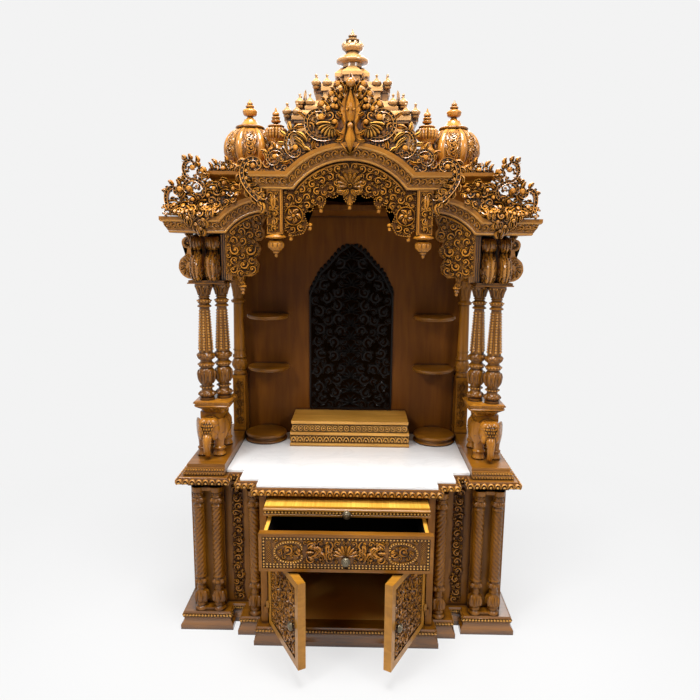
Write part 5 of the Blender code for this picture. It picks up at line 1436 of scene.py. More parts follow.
def capital():
    """Block with a fluted pier, two leafed scroll brackets to the front and one to the side."""
    low, high = ABACUS_TOP + SEAM, CORNICE_FOOT - SEAM
    x0, y0, x1, y1 = 0.475, -0.062, 0.628, 0.01
    made = Shape()
    box(made, (x0, y0, low), (x1, y1, high))
    for k in range(5):
        x = x0 + 0.006 + 0.0085 * k
        box(made, (x - 0.0028, y0 - 0.04 + 0.002 * (k % 2), low), (x + 0.0028, y0 + 0.004, high))
    box(made, (x0, y0 - 0.034, low), (x0 + 0.046, y0 + 0.004, high))
    for x, half in ((0.6125, 0.0205), (0.549, 0.025)):
        line = bracket_line(-y0 - 0.004, 0.093, low + 0.004, high)
        rings = []
        for side, inset in ((-1, 0.004), (-0.86, 0.0), (0.86, 0.0), (1, 0.004)):
            closed = [(-y0 - 0.006, low + 0.004)] + line + [(-y0 - 0.006, high)]
            centre = np.mean(closed, 0)
            rings.append([(x + side * half, -(u + (centre[0] - u) * inset * 8),
                    z + (centre[1] - z) * inset * 8) for u, z in closed])
        made.loft(rings)
        mapping, length = outline_mapping(line, x)
        flat = Shape()
        leaf(flat, np.stack([np.zeros(24), np.linspace(length * 0.66, 0.004, 24)], 1), half * 1.02, 0.015,
             0.002, 6)
        for side in (-1, 1):
            for k in range(4):
                frond(flat, (side * half * 0.25, length * (0.12 + 0.12 * k)), 90 - side * 75, half * 0.8,
                      side * 50, side * 30, 0.0065, 0.015, 0.001, 2, count=7)
        leaf(flat, np.stack([np.zeros(9), np.linspace(length * 0.5, length * 0.95, 9)], 1), half * 0.86,
             0.009, 0.002, 3)
        beads(flat, [(0.0, length * 0.1), (0.0, length * 0.48)], 0.0085, 0.0032, 0.009)
        for side in (-1, 1):
            bar(flat, np.stack([np.full(20, side * half * 0.88), np.linspace(0.0, length, 20)], 1), 0.0026,
                0.006, ROUND, 0.001)
            frond(flat, (side * half * 0.2, length * 0.52), 90 - side * 70, 0.02, side * 60, 0, 0.006, 0.008,
                  0.001, 3, count=8)
        ball(flat, 0, length * 0.57, 0.006, 0.005, rows=4)
        made.put(flat, mapping)
        for side in (-1, 1):
            for u, z, r in ((line[5][0] - 0.032, low + 0.053, 0.034),
                    (line[-4][0] - 0.014, high - 0.036, 0.016)):
                cut = volute(u, z, r, 0.003, 0.0032, 0.005)
                made.put(cut, lambda p: np.stack([x + side * (half + p[:, 2]), -p[:, 0], p[:, 1]], 1))
    side_y = -0.048
    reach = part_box("capital_right")[1].x - x1 + 0.004
    line = bracket_line(x1 - 0.004, reach, low + 0.004, high)
    closed = [(x1 - 0.006, low + 0.004)] + line + [(x1 - 0.006, high)]
    made.loft([[(u, side_y + side * 0.024, z) for u, z in closed] for side in (-1, 1)])
    mapping, length = outline_mapping(line, 0)
    flat = Shape()
    leaf(flat, np.stack([np.zeros(16), np.linspace(length * 0.66, 0.004, 16)], 1), 0.02, 0.006, 0.002, 5)
    made.put(flat, lambda p: mapping(p)[:, [1, 0, 2]] * (-1, 1, 1) + (0, side_y, 0))
    for side in (-1, 1):
        for u, z, r in ((x1 + reach - 0.053, low + 0.053, 0.04), (x1 + reach * 0.8 - 0.03, high - 0.036,
                0.016)):
            cut = volute(u, z, r, 0.0032, 0.0036, 0.006)
            frond(cut, (u - 0.01, z + 0.012), 70, 0.05, -20, -60, 0.011, 0.0075, 0.001, 3)
            for k in range(7):
                turn = radians(80 - 34 * k)
                root = (u + r * 0.5 * cos(turn), z + r * 0.5 * sin(turn))
                frond(cut, root, 60 - 34 * k, r * 0.72, -50, -50, r * 0.22, 0.007, 0.001, 3)
            made.put(cut, lambda p: np.stack([p[:, 0], side_y + side * (0.024 + p[:, 2]), p[:, 1]], 1))
    pair("leafed_capital", made, "crest", "capital")


def axis_of(node):
    """Axis (x, y), foot and height of a round node, and half its width."""
    low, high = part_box(node)
    return (low.x + high.x) / 2, (low.y + high.y) / 2, low.z, high.z - low.z, (high.x - low.x) / 2


def dome():
    """Ribbed dome: smooth ribs edged with beads, leaf scrolls between, a flared cap and a bulb."""
    x, y, base, tall, radius = axis_of("side_dome_right")
    swell = [(cos(a), 0.345 + 0.31 * sin(a)) for a in np.linspace(-0.45, 1.05, 13)]
    rows = ((0.83, 0.0), (0.85, 0.01), (0.85, 0.082, 0.04), (0.74, 0.105), (0.74, 0.125), (0.82, 0.165),
            *swell)
    cap = ((0.44, 0.6), (0.56, 0.626, 0.2), (0.52, 0.648, 0.3), (0.4, 0.664), (0.32, 0.69, -0.06),
           (0.24, 0.735, -0.08), (0.11, 0.775, -0.1), (0.14, 0.785), (0.28, 0.828, 0.25), (0.26, 0.865, 0.2),
           (0.1, 0.892), (0.16, 0.905, 0.4), (0.16, 0.918, 0.3), (0.07, 0.935), (0.11, 0.955, 0.4),
           (0.05, 0.97), (0.02, 1.0))
    made = Shape()
    profile = shares(rows, radius, base, tall)
    turned(made, profile, x, y, 48)
    turned(made, shares(cap, radius, base, tall), x, y, 32)
    radius_at = radius_of(profile)
    ribs, foot, head = 7, base + 0.175 * tall, base + 0.61 * tall
    mapping = round_post(x, y, radius_at, 0.3)
    heights = np.linspace(foot, head, 18)
    wide = 0.03 * (1 - ((heights - foot) / (head - foot)) ** 2.2 * 0.25)
    for k in range(ribs):
        turn = k / ribs
        flat, vines = Shape(), Shape()
        u = ROUND[:, 0]
        rings = np.stack([turn + wide[:, None] * 0.78 * u, np.repeat(heights[:, None], len(u), 1),
                0.0065 * ROUND[:, 1] - 0.002 * ROUND[:, 2] + np.zeros((18, 1))], -1)
        flat.loft(rings)
        for side in (-1, 1):
            for z in np.linspace(foot, head, 22):
                edge = turn + side * float(np.interp(z, heights, wide)) * 0.98
                bead = Shape()
                ball(bead, 0, z, 0.0012, 0.0024, sides=6, rows=3)
                around = 2 * pi * float(radius_at(z))
                flat.put(bead, lambda p: p * (1 / around, 1, 1) + (edge, 0, 0))
        made.put(flat, mapping)
        around = 2 * pi * radius * 0.9
        for j, z in enumerate(np.linspace(foot + 0.01, head - 0.02, 7)):
            side = 1 if j % 2 else -1
            scale = float(radius_at(np.array([z]))[0]) / radius
            rosette_scroll(vines, side * 0.004 * scale, z, 0.0165 * scale, 90 + side * 40, side, 0.007, 0.001)
            frond(vines, (-side * 0.006, z - 0.006), 90 + side * 50, 0.034 * scale, -side * 60, 0,
                  0.0085 * scale, 0.0068, 0.001, 2, 0.0, SLIM_BLADE, count=7)
        made.put(vines, lambda p: mapping(p * (1 / around, 1, 1) + (turn + 0.5 / ribs, 0, 0)))
    ring_of_beads(made, x, y, base + 0.102 * tall, radius * 0.88, 40, 0.0032)
    pair("ribbed_dome", made, "crest", "side_dome")
    rim = Shape()
    rows = ((0.44, 0.606), (0.575, 0.622, 0.2), (0.575, 0.636), (0.5, 0.65, 0.2))
    turned(rim, shares(rows, radius, base, tall), x, y, 40)
    pair("dome_rim", rim, "column")


def ribbed_finial():
    """Finial with a many-ribbed cushion on a pedestal, rings and a tip above."""
    x, y, base, tall, _ = axis_of("ribbed_finial_right")
    radius = 0.04
    lower = ((0.78, 0.0), (0.78, 0.03), (0.62, 0.06), (0.6, 0.2), (0.78, 0.26, 0.3), (0.6, 0.31),
             (0.86, 0.37, 0.2), (0.6, 0.42), (0.55, 0.47), (0.8, 0.53, 0.1))
    ribbed = ((0.62, 0.52), (0.96, 0.548, 0.2), (1.07, 0.6, 0.15), (1.07, 0.635, 0.1), (0.92, 0.69, 0.2),
              (0.62, 0.712))
    upper = ((0.6, 0.704), (0.78, 0.716, 0.3), (0.76, 0.734, 0.3), (0.3, 0.748), (0.22, 0.77, -0.1),
             (0.22, 0.782), (0.46, 0.796, 0.4), (0.44, 0.812, 0.3), (0.2, 0.826), (0.4, 0.846, 0.4),
             (0.38, 0.862, 0.3), (0.18, 0.876), (0.34, 0.905, 0.3), (0.14, 0.94, 0.2), (0.05, 1.0))
    made = Shape()

    def cushion(angle, z):
        return 0.8 + 0.2 * np.abs(np.cos(9 * angle)) ** 0.7

    for rows, sides, ribs in ((lower, 28, None), (ribbed, 96, cushion), (upper, 24, None)):
        turned(made, shares(rows, radius, base, tall), x, y, sides, ribs)
    ring_of_beads(made, x, y, base + 0.485 * tall, radius * 0.66, 12, 0.0036)
    pair("cushion_finial", made, "crest", "ribbed_finial")


def top_finial():
    """Finial over the spire: a bell, a lotus bulb and a tip."""
    _, y, base, tall, _ = axis_of("top_finial")
    radius = 0.064
    rows = ((0.62, 0.0), (0.62, 0.09), (0.94, 0.13), (1.0, 0.17, 0.25), (0.96, 0.215, 0.2),
            (0.72, 0.29, -0.06), (0.42, 0.375, -0.12), (0.38, 0.41), (0.54, 0.455, 0.1), (0.66, 0.51, 0.12),
            (0.62, 0.575, 0.12), (0.44, 0.615, 0.1), (0.3, 0.66, -0.1), (0.28, 0.69), (0.44, 0.725, 0.35),
            (0.26, 0.765), (0.2, 0.8, -0.1), (0.28, 0.835, 0.35), (0.12, 0.87), (0.1, 0.89),
            (0.05, 0.93, 0.2), (0.02, 1.0))
    made = Shape()
    turned(made, shares(rows, radius, base, tall), 0.0, y, 40)
    for x_out, y_out in oval(0.0, y, radius * 0.56, radius * 0.56, 11)[:-1]:
        ball(made, x_out, y_out, base + 0.585 * tall, 0.0088, 1.2, 8, 5)
    piece("lotus_finial", made, "lit_roof", replaces=("top_finial",))


TIERS = ((0.255, -0.16, 2.0733, (0.242, 0.205), (0.25, 2.106)), (0.208, -0.12, 2.1163, (0.198, 0.159),
        (0.184, 2.178)), (0.149, -0.08, 2.1963, (0.138, 0.096), (0.146, 2.222)))


def spire_trim():
    """Pairs of balled finials on the spire's tiers, and a leaf at each corner."""
    made = Shape()
    for half, y0, top, spots, (tip_x, tip_z) in TIERS:
        for place in spots:
            for side in (-1, 1):
                for y in (y0 + 0.014, 0.08 - y0 - 0.014):
                    onion(made, side * place, y, top - 0.002, 1.08)
        for side in (-1, 1):
            for y, lean in ((y0 + 0.036, -1), (0.08 - y0 - 0.036, 1)):
                onion(made, side * (half - 0.012), y, top - 0.002, 1.0)
                flat = Shape()
                frond(flat, (0, top - 0.01), 82, tip_z - top + 0.014, 20, 0, 0.0125, 0.006, 0.004, 3)
                made.put(flat, lambda p: np.stack([side * (tip_x - 0.006 + p[:, 0] * 0.7),
                        y + lean * (0.01 + p[:, 2] * 0.8), p[:, 1]], 1))
    piece("spire_trim", made, "lit_roof")


def onion(shape, x, y, z, size):
    """Small onion finial with a ball on its tip."""
    rows = ((0.012, 0.0), (0.014, 0.004), (0.0095, 0.008), (0.017, 0.016, 0.2), (0.0165, 0.022, 0.2),
            (0.0075, 0.03, -0.05), (0.0034, 0.034), (0.0036, 0.039))
    turned(shape, [(r * size, z + h * size, *bow) for r, h, *bow in rows], x, y, 12, None, 3)
    ball(shape, x, y, z + 0.0435 * size, 0.0052 * size, rows=4)


def turned_by(degrees, axis):
    """Matrix of a turn about an axis."""
    return Matrix.Rotation(radians(degrees), 4, axis)


def swung(side):
    """Mapping that swings a closed door's carving to where the door rests, open."""
    hinge = (side * HINGE[0], HINGE[1], 0)
    back = Matrix.Translation((-hinge[0], -hinge[1], 0))
    matrix = np.array(Matrix.Translation(hinge) @ turned_by(side * DOOR_OPEN, "Z") @ back)
    return lambda p: p @ matrix[:3, :3].T + matrix[:3, 3]


def door_carvings():
    """Dense foliage and a bead column on each door, which ride with the doors."""
    flat, backing = Shape(), Shape()
    foliage(flat, [oblong(0.036, 0.115, 0.271, 0.386)], 0.023, 0.0078, 0.0085, 11)
    beads(flat, [(0.2785, 0.116), (0.2785, 0.385)], 0.011, 0.005, 0.001)
    plate(backing, oblong(0.033, 0.112, 0.285, 0.389), *GROUND)
    for name, side in (("left", -1), ("right", 1)):
        closed = front(HINGE[1] + 0.009)
        for label, carving, finish in (("carving", flat, "carved"), ("ground", backing, "ground")):
            made = carving.laid(lambda p: swung(side)(closed(p * (side, 1, 1))))
            piece(f"door_{label}_{name}", made, finish, f"door_{name}")


def drawer_carving():
    """Bead frame, hatched ends, two beaded ovals, a shell and foliage on the drawer's face."""
    flat, dots, backing = Shape(), Shape(), Shape()
    x1, z0, z1 = 0.303, 0.44, 0.562
    for height in (z0 + 0.006, z0 + 0.016, z1 - 0.006):
        beads(dots, [(0.0, height), (x1 - 0.006, height)], 0.0125, 0.0044, 0.0015)
    beads(dots, [(x1 - 0.006, z0 + 0.027), (x1 - 0.006, z1 - 0.018)], 0.0125, 0.0044, 0.0015)
    lattice(flat, (0.268, z0 + 0.022), (0.291, z1 - 0.012), 0.008, 0.0016, 0.004)
    for x in (0.266, 0.292):
        bar(flat, [(x, z0 + 0.02), (x, z1 - 0.011)], 0.0014, 0.0036, SLIM)
    ring = oval(0.2, 0.504, 0.058, 0.04, 13, radians(-150), radians(150))
    path = smooth([(0.168, 0.498), (0.158, 0.488), *ring[1:-1], (0.158, 0.52), (0.168, 0.51)], 4)
    ridge(flat, path, 0.0068, 0.006, CRUST, BAND, 0.75, 0.75)
    beads(dots, path[3:-3], 0.0092, 0.0038, 0.0035)
    for point in (path[0], path[-1]):
        ball(flat, *point, 0.004, 0.0065, rows=4)
    foliage(flat, [oval(0.205, 0.504, 0.046, 0.031, 20)[:-1]], 0.02, 0.0062, 0.0085, 21)
    fan(flat, 0.0, 0.488, 0.046, 170, 90, 5, 0.01)
    field = np.array(oblong(0.0, z0 + 0.019, 0.262, z1 - 0.01))
    taken = [(0.2 + k * 0.009, 0.504, 0.043) for k in (-2, -1, 0, 1, 2)] + [(0.0, 0.5, 0.036)]
    foliage(flat, [field], 0.019, 0.005, 0.0095, 13, taken)
    for z, way in ((0.47, 40), (0.504, 0), (0.538, -40)):
        frond(flat, (0.112, z), way, 0.032, 0, 0, 0.009, 0.0105, 0.001, 3, count=8)
    for x, z, way, turn, size in ((0.132, 0.484, 170, -1, 0.078), (0.13, 0.526, 190, 1, 0.074),
            (0.112, 0.504, 180, 1, 0.06), (0.06, 0.474, 60, 1, 0.05), (0.06, 0.536, -60, -1, 0.046)):
        path = curl((x, z), way, size, turn * 40, turn * 190, 14)
        leaf(flat, path, 0.0125, 0.012, 0.001, 5)
        ball(flat, *path[-1], 0.006, 0.0052, rows=4)
    plate(backing, oblong(-x1, z0, x1, z1), *GROUND)
    face = front(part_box("drawer_front")[0].y + 0.005)
    for label, carving, finish in (("carving", both_sides(flat), "carved"),
            ("beads", both_sides(dots), "highlight_pale_teak"), ("ground", backing, "column")):
        piece(f"drawer_{label}", carving.laid(face), finish, "drawer")


def tray_beads():
    """Bead row in the groove of the tray's front edge."""
    flat, backing = Shape(), Shape()
    beads(flat, [(0.024, 0.5998), (0.308, 0.5998)], 0.013, 0.0046, 0.001)
    plate(backing, oblong(-0.3135, 0.594, 0.3135, 0.6055), *GROUND)
    face = front(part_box("tray")[0].y + 0.003)
    for label, carving, finish in (("beads", both_sides(flat), "highlight_pale_teak"), ("groove", backing, "ground")):
        piece(f"tray_{label}", carving.laid(face), finish, "tray", "light_wood")


def knobs():
    """Turned brass knobs with rings, on the tray, the drawer and the doors."""
    rows = ((0.5, 0.0), (0.52, 0.08, 0.3), (0.34, 0.16), (0.3, 0.34, -0.1), (0.62, 0.44), (0.94, 0.52, 0.2),
            (1.0, 0.62, 0.2), (0.93, 0.7, 0.2), (0.86, 0.71), (0.84, 0.8, 0.2), (0.7, 0.84, 0.2),
            (0.62, 0.83), (0.58, 0.92, 0.2), (0.3, 0.96, 0.1), (0.22, 0.95), (0.16, 1.0, 0.2), (0.02, 1.02))
    knob = Shape()
    rows = shares(rows, 0.017, 0.0, 0.026)
    turned(knob, rows, 0.0, 0.0, 26, lambda angle, z: 1 - 0.05 * (np.abs(np.sin(6 * angle)) < 0.4))
    for node, body, place in (("tray_knob", "tray", (0.0, -0.41, 0.6)),
            ("drawer_knob", "drawer", (0.0, -0.525, 0.4747))):
        made = knob.laid(lambda p: np.stack([p[:, 0], -p[:, 2], p[:, 1]], 1) + place)
        piece(f"{node}_brass", made, "antique_brass", body, "knobs", (node,))
    for name, side in (("left", -1), ("right", 1)):
        place = (side * 0.0485, -0.315, 0.2352)
        made = knob.laid(lambda p: swung(side)(np.stack([p[:, 0], -p[:, 2], p[:, 1]], 1) + place))
        piece(f"door_knob_brass_{name}", made, "antique_brass", f"door_{name}", "knobs",
              (f"door_knob_{name}",))


def pedestal_bands():
    """Oval and scalloped bands round the pedestal, with beads."""
    upper, lower = Shape(), Shape()
    bar(upper, oval(0.0, 0.016, 0.0096, 0.012, 15), 0.003, 0.0074, SLIM)
    ball(upper, 0, 0.016, 0.001, 0.006)
    for z in (0.004, 0.028):
        ball(upper, 0.013, z, 0.001, 0.0038)
    bar(lower, oval(0.0, 0.004, 0.0125, 0.025, 11, 0.02 * pi, 0.98 * pi), 0.0036, 0.008, SLIM)
    ball(lower, 0, 0.012, 0.001, 0.0062)
    ball(lower, 0.015, 0.029, 0.001, 0.0044)
    for name, unit, half, y, z, tall, pitch in (("upper", upper, 0.261, 0.134, 0.747, 0.032, 0.026),
            ("lower", lower, 0.269, 0.126, 0.694, 0.035, 0.03)):
        course = Course.through(z, [(half, 0.318, (1, 0)), (half, y, (1, -1)), (0.0, y, (0, -1))])
        made, backing = Shape(), Shape()
        course.repeat(made, unit, (0.0, 0.0), (0.0, tall), pitch)
        course.moulding(backing, [(0.0005, 0.001), (0.0005, tall - 0.001), (-0.003, tall - 0.001),
                (-0.003, 0.001)])
        piece(f"pedestal_{name}_carving", both_sides(made), "highlight_pale_teak")
        piece(f"pedestal_{name}_ground", both_sides(backing), "ground")


def side_plinth_bands():
    """Dotted carving round the two lower steps of the side plinths."""
    made, backing, unit = Shape(), Shape(), Shape()
    ball(unit, 0.0, 0.0065, 0.0005, 0.0048, sides=6, rows=3)
    for z in (0.0025, 0.0105):
        ball(unit, 0.0055, z, 0.0, 0.0024, 1.0, 5, 2)
    for x, y, z in ((0.668, -0.225, 0.6683), (0.663, -0.22, 0.6845)):
        course = Course.through(z, [(x, BACK, (1, 0)), (x, y, (1, -1)), (0.503, y, (0, -1))])
        course.repeat(made, unit, (0.0, 0.0), (0.0, 0.013), 0.011)
        course.moulding(backing, [(0.0005, 0.001), (0.0005, 0.012), (-0.002, 0.012), (-0.002, 0.001)])
    pair("side_plinth_carving", made, "highlight_teak")
    pair("side_plinth_ground", backing, "ground")


def screen():
    """Pointed openwork screen of black scrolls on the back wall."""
    low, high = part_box("back_screen")
    heights = np.array([low.z, 1.361, 1.411, 1.461, 1.481, 1.501, 1.531, 1.561, 1.599])
    halves = np.interp(heights, [1.361, 1.461, 1.501, 1.561, 1.601], [0.2, 0.15, 0.11, 0.06, 0.0])
    edge = list(zip(halves - 0.004, heights))
    flat, behind = Shape(), Shape()
    thick = high.y - low.y - 0.0005
    bar(flat, places_along(edge, 0.012), 0.005, thick, SLIM, 0.0)
    outline = np.array([(0.003, low.z), *edge])
    medals = [(0.0, z, 0.03) for z in np.arange(low.z + 0.046, 1.56, 0.064)]
    foliage(flat, [outline], 0.03, 0.0135, thick, 17, medals, 0.002, under=0.0)
    for x, z in places_along(edge[1:], 0.024)[:-1]:
        frond(flat, (x - 0.008, z - 0.004), 40, 0.032, 40, 60, 0.012, thick * 0.9, 0.0, 3, count=8)
    for x, z, r in medals:
        for k in range(4):
            frond(flat, (0.001, z - r * 0.6), 84 - 30 * k, r * 1.7, -14, -40, r * 0.26, thick, 0.0, 3,
                  count=10)
        ball(flat, 0.0, z - r * 0.5, thick * 0.5, r * 0.22, 0.5, 10, 5)
    whole = both_sides(flat)
    bar(whole, [(x, low.z + 0.006) for x in np.linspace(-0.198, 0.198, 5)], 0.006, thick, SLIM, 0.0)
    made = whole.laid(lambda p: np.clip(front(high.y)(p), tuple(low), tuple(high)))
    plate(behind, edge + [(-x, z) for x, z in reversed(edge[:-1])], -0.0016, -0.0002)
    piece("screen_ground", behind.laid(front(high.y - 0.0017)), "shade_black_teak", "root", "black_lacquer")
    piece("openwork_screen", made, "black_lacquer", "root", "black_lacquer", ("back_screen",))


def shelves():
    """Round shelves against the wall and the low stands in front of it."""
    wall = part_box("wall_shelf_lower_right")[1].y
    shelf = ((0.9, 0.0), (0.93, 0.06), (0.95, 0.3), (0.99, 0.36, 0.2), (1.0, 0.62, 0.3), (0.985, 0.94, 0.3),
             (0.96, 1.0))
    stand = ((0.94, 0.0), (1.0, 0.08, 0.3), (1.0, 0.24, 0.2), (0.95, 0.32), (0.9, 0.48, -0.2), (0.92, 0.6),
             (0.97, 0.68, 0.3), (0.99, 0.86, 0.3), (0.955, 0.97, 0.2), (0.93, 1.0))
    for name, node, rows in (("turned_shelf_lower", "wall_shelf_lower", shelf),
            ("turned_shelf_upper", "wall_shelf_upper", shelf), ("turned_stand", "round_stand", stand)):
        x, _, foot, tall, radius = axis_of(f"{node}_right")
        made = Shape()
        turned(made, shares(rows, radius, foot, tall), x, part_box(f"{node}_right")[0].y + radius, 64)
        cut = made.laid(lambda p: np.stack([p[:, 0], np.minimum(p[:, 1], wall), p[:, 2]], 1))
        pair(name, cut, "teak_across", node)


def egg(shape, centre, size, sides=14, rows=9):
    """Ellipsoid."""
    made = Shape()
    ball(made, 0, 0, 0, 1.0, 1.0, sides, rows)
    shape.put(made, lambda p: p * size + centre)


def tube(shape, path, radii, sides=10, ribs=0.0):
    """Round limb through points in space, with a radius at each."""
    path, radii = smooth(path, 4), smooth([(r, 0) for r in radii], 4)[:, 0]
    ahead = np.gradient(path, axis=0)
    ahead /= np.linalg.norm(ahead, axis=1)[:, None] + 1e-12
    side = np.array((1.0, 0.0, 0.0))
    up = np.cross(ahead, side)
    turn = np.arange(sides) * 2 * pi / sides
    grow = 1 + ribs * (np.arange(len(path)) % 2)
    rings = path[:, None] + (radii * grow)[:, None, None] * (np.cos(turn)[None, :, None] * side
            + np.sin(turn)[None, :, None] * up[:, None])
    shape.loft(rings)


def elephant():
    """Standing elephant with a head-cloth and anklets, its saddle, and the flared console that it carries."""
    x, y, foot, tall = 0.583, -0.035, SIDE_PLINTH_TOP + SEAM, 0.185
    made = Shape()

    def at(reach, share, aside=0.0):
        return x + aside, y + reach, foot + share * tall

    rings = []
    for reach, z, wide, high in ((0.121, 0.58, 0.2, 0.07), (0.114, 0.58, 0.52, 0.18),
            (0.095, 0.58, 0.82, 0.29), (0.06, 0.575, 0.98, 0.345), (0.01, 0.56, 1.00, 0.36),
            (-0.03, 0.585, 0.92, 0.33), (-0.055, 0.64, 0.76, 0.27), (-0.075, 0.68, 0.68, 0.24)):
        turn = np.arange(18) * 2 * pi / 18
        rings.append([(x + 0.064 * wide * cos(t), y + reach, foot + tall * (z - 0.02 + 1.08 * high * sin(t)))
                      for t in turn])
    made.loft(rings)
    # head with two brows, cheeks, eyes and ears
    egg(made, at(-0.098, 0.66), (0.046, 0.036, 0.049))
    for side in (-1, 1):
        egg(made, at(-0.1, 0.8, side * 0.019), (0.024, 0.026, 0.024), 12, 7)
        egg(made, at(-0.108, 0.56, side * 0.022), (0.018, 0.022, 0.026), 12, 7)
        egg(made, at(-0.122, 0.655, side * 0.027), (0.005, 0.005, 0.0034), 8, 5)
        ear = Shape()
        rows = ((0.87, 0.018), (0.85, 0.032), (0.77, 0.045), (0.65, 0.049), (0.53, 0.045), (0.43, 0.034),
                (0.37, 0.018))
        ear.loft([[(w * c, 0.0045 * k, z * tall) for c, k in ((-0.75, 0.4), (-0.3, 1.0), (0.35, 1.0),
                (0.9, 0.3), (0.9, -0.3), (0, -0.8), (-0.75, -0.5))] for z, w in rows])
        folds = Shape()
        for k in range(3):
            ridge(folds, curl((0.01, (0.84 - 0.12 * k) * tall), -20 - 22 * k, 0.034, -40, -30, 8), 0.003,
                  0.005, 0.002, SLIM)
        ear.put(folds, lambda p: p[:, [0, 2, 1]])
        made.put(ear, lambda p: np.stack([x + side * (0.048 + p[:, 0] * 0.45 + p[:, 1] * 0.6),
                y - 0.07 + p[:, 0] * 0.75 - p[:, 1] * 0.8, foot + p[:, 2]], 1))
    tube(made, [at(-0.112, 0.6), at(-0.132, 0.48), at(-0.138, 0.36), at(-0.138, 0.24), at(-0.132, 0.14),
                at(-0.118, 0.09), at(-0.106, 0.13)], (0.021, 0.018, 0.0155, 0.013, 0.011, 0.0095, 0.0075), 12,
         0.06)
    # legs with anklets and toes
    for side in (-1, 1):
        for reach in (-0.06, 0.082):
            cx, cy = x + side * 0.033, y + reach
            turned(made, [(0.0245, foot), (0.025, foot + 0.008, 0.2), (0.0205, foot + 0.018),
                    (0.02, foot + 0.026), (0.0235, foot + 0.03, 0.4), (0.0235, foot + 0.036, 0.3),
                    (0.02, foot + 0.04), (0.021, foot + 0.06), (0.0245, foot + 0.1)], cx, cy, 18)
            for k in (-1, 0, 1):
                ball(made, cx + 0.015 * k, cy - (0.0235 - 0.005 * abs(k)), foot + 0.0045, 0.0058, 0.8, 8, 4)
            ring_of_beads(made, cx, cy, foot + 0.033, 0.024, 12, 0.0024)
    # lattice head-cloth, forehead beads and neck chain
    cloth = Shape()
    for k in range(5):
        half = 0.034 * (1 - k / 5.5)
        beads(cloth, [(-half, 0.158 - 0.0125 * k), (half + 1e-5, 0.158 - 0.0125 * k)], 0.01, 0.0044, 0.003)
    for side in (-1, 1):
        bar(cloth, [(side * 0.038, 0.16), (side * 0.022, 0.132), (0.0, 0.102)], 0.0032, 0.0056, SLIM, 0.004)

    def forehead(p):
        bulge = 1 - (p[:, 0] / 0.046) ** 2 - ((p[:, 1] - 0.66 * tall) / 0.049) ** 2
        return np.stack([x + p[:, 0], y - 0.1 - 0.036 * np.sqrt(np.maximum(0.05, bulge)) - p[:, 2],
                foot + p[:, 1]], 1)

    made.put(cloth, forehead)
    for k in range(13):
        turn = pi * (0.05 + 0.9 * k / 12)
        ball(made, x + 0.048 * cos(turn), y - 0.06, foot + tall * 0.64 - 0.054 * sin(turn), 0.005)
    # saddle cloth with bead edges, under the console
    box(made, (x - 0.045, y - 0.055, foot + tall * 0.82), (x + 0.045, y + 0.085, foot + tall + 0.001))
    for side in (-1, 1):
        flat = Shape()
        plate(flat, oblong(-0.045, 0.1, 0.075, 0.15), -0.004, 0.002)
        beads(flat, [(-0.045, 0.1), (0.075, 0.1)], 0.008, 0.0028, 0.002)
        for k in range(4):
            frond(flat, (-0.032 + 0.032 * k, 0.104), 90, 0.04, 0, 0, 0.012, 0.006, 0.001, 3, count=8)
        made.put(flat, lambda p: np.stack([x + side * (0.058 * np.sqrt(np.maximum(0.05,
                1 - ((p[:, 1] / tall - 0.56) / 0.4) ** 2)) + p[:, 2]), y + p[:, 0], foot + p[:, 1]], 1))
    # console: a flared bowl with upright leaves and a plate
    x0, y0, x1, y1 = 0.494, -0.135, 0.644, 0.02
    base, high = foot + tall, 0.054
    profile = ((-0.034, 0.0), (-0.032, 0.05), (-0.029, 0.14), (-0.022, 0.28), (-0.014, 0.4), (-0.008, 0.48),
               (-0.009, 0.52), (-0.002, 0.56), (0.0, 0.64), (-0.003, 0.72), (-0.001, 0.8), (0.0, 0.96),
               (-0.002, 1.0))
    rings = []
    for out, up in profile:
        ax, bx, ay, by = x0 - out, x1 + out, y0 - out, y1 + out
        cut = 0.01
        rings.append([(ax + cut, ay), (bx - cut, ay), (bx, ay + cut), (bx, by - cut), (bx - cut, by),
                      (ax + cut, by), (ax, by - cut), (ax, ay + cut)])
        rings[-1] = [(u, v, base + high * up) for u, v in rings[-1]]
    made.loft(rings)
    course = Course.through(base, [(x1, y1, (1, 1)), (x1, y0, (1, -1)), (x0, y0, (-1, -1)),
            (x0, y1, (-1, 1))])
    unit, bead = Shape(), Shape()
    frond(unit, (0, 0.001), 90, 0.034, 0, 0, 0.0085, 0.005, 0.002, 3)
    ball(unit, 0.0095, 0.032, 0.001, 0.003)
    ball(bead, 0.0, 0.0, 0.0, 0.003)
    course.repeat(made, unit, (-0.0325, 0.004), (-0.008, 0.034), 0.019, 0.022)
    course.repeat(made, bead, (0.0, 0.0475), (0.0, 0.052), 0.0085, 0.003)
    pair("carved_elephant", made, "carved", "elephant")


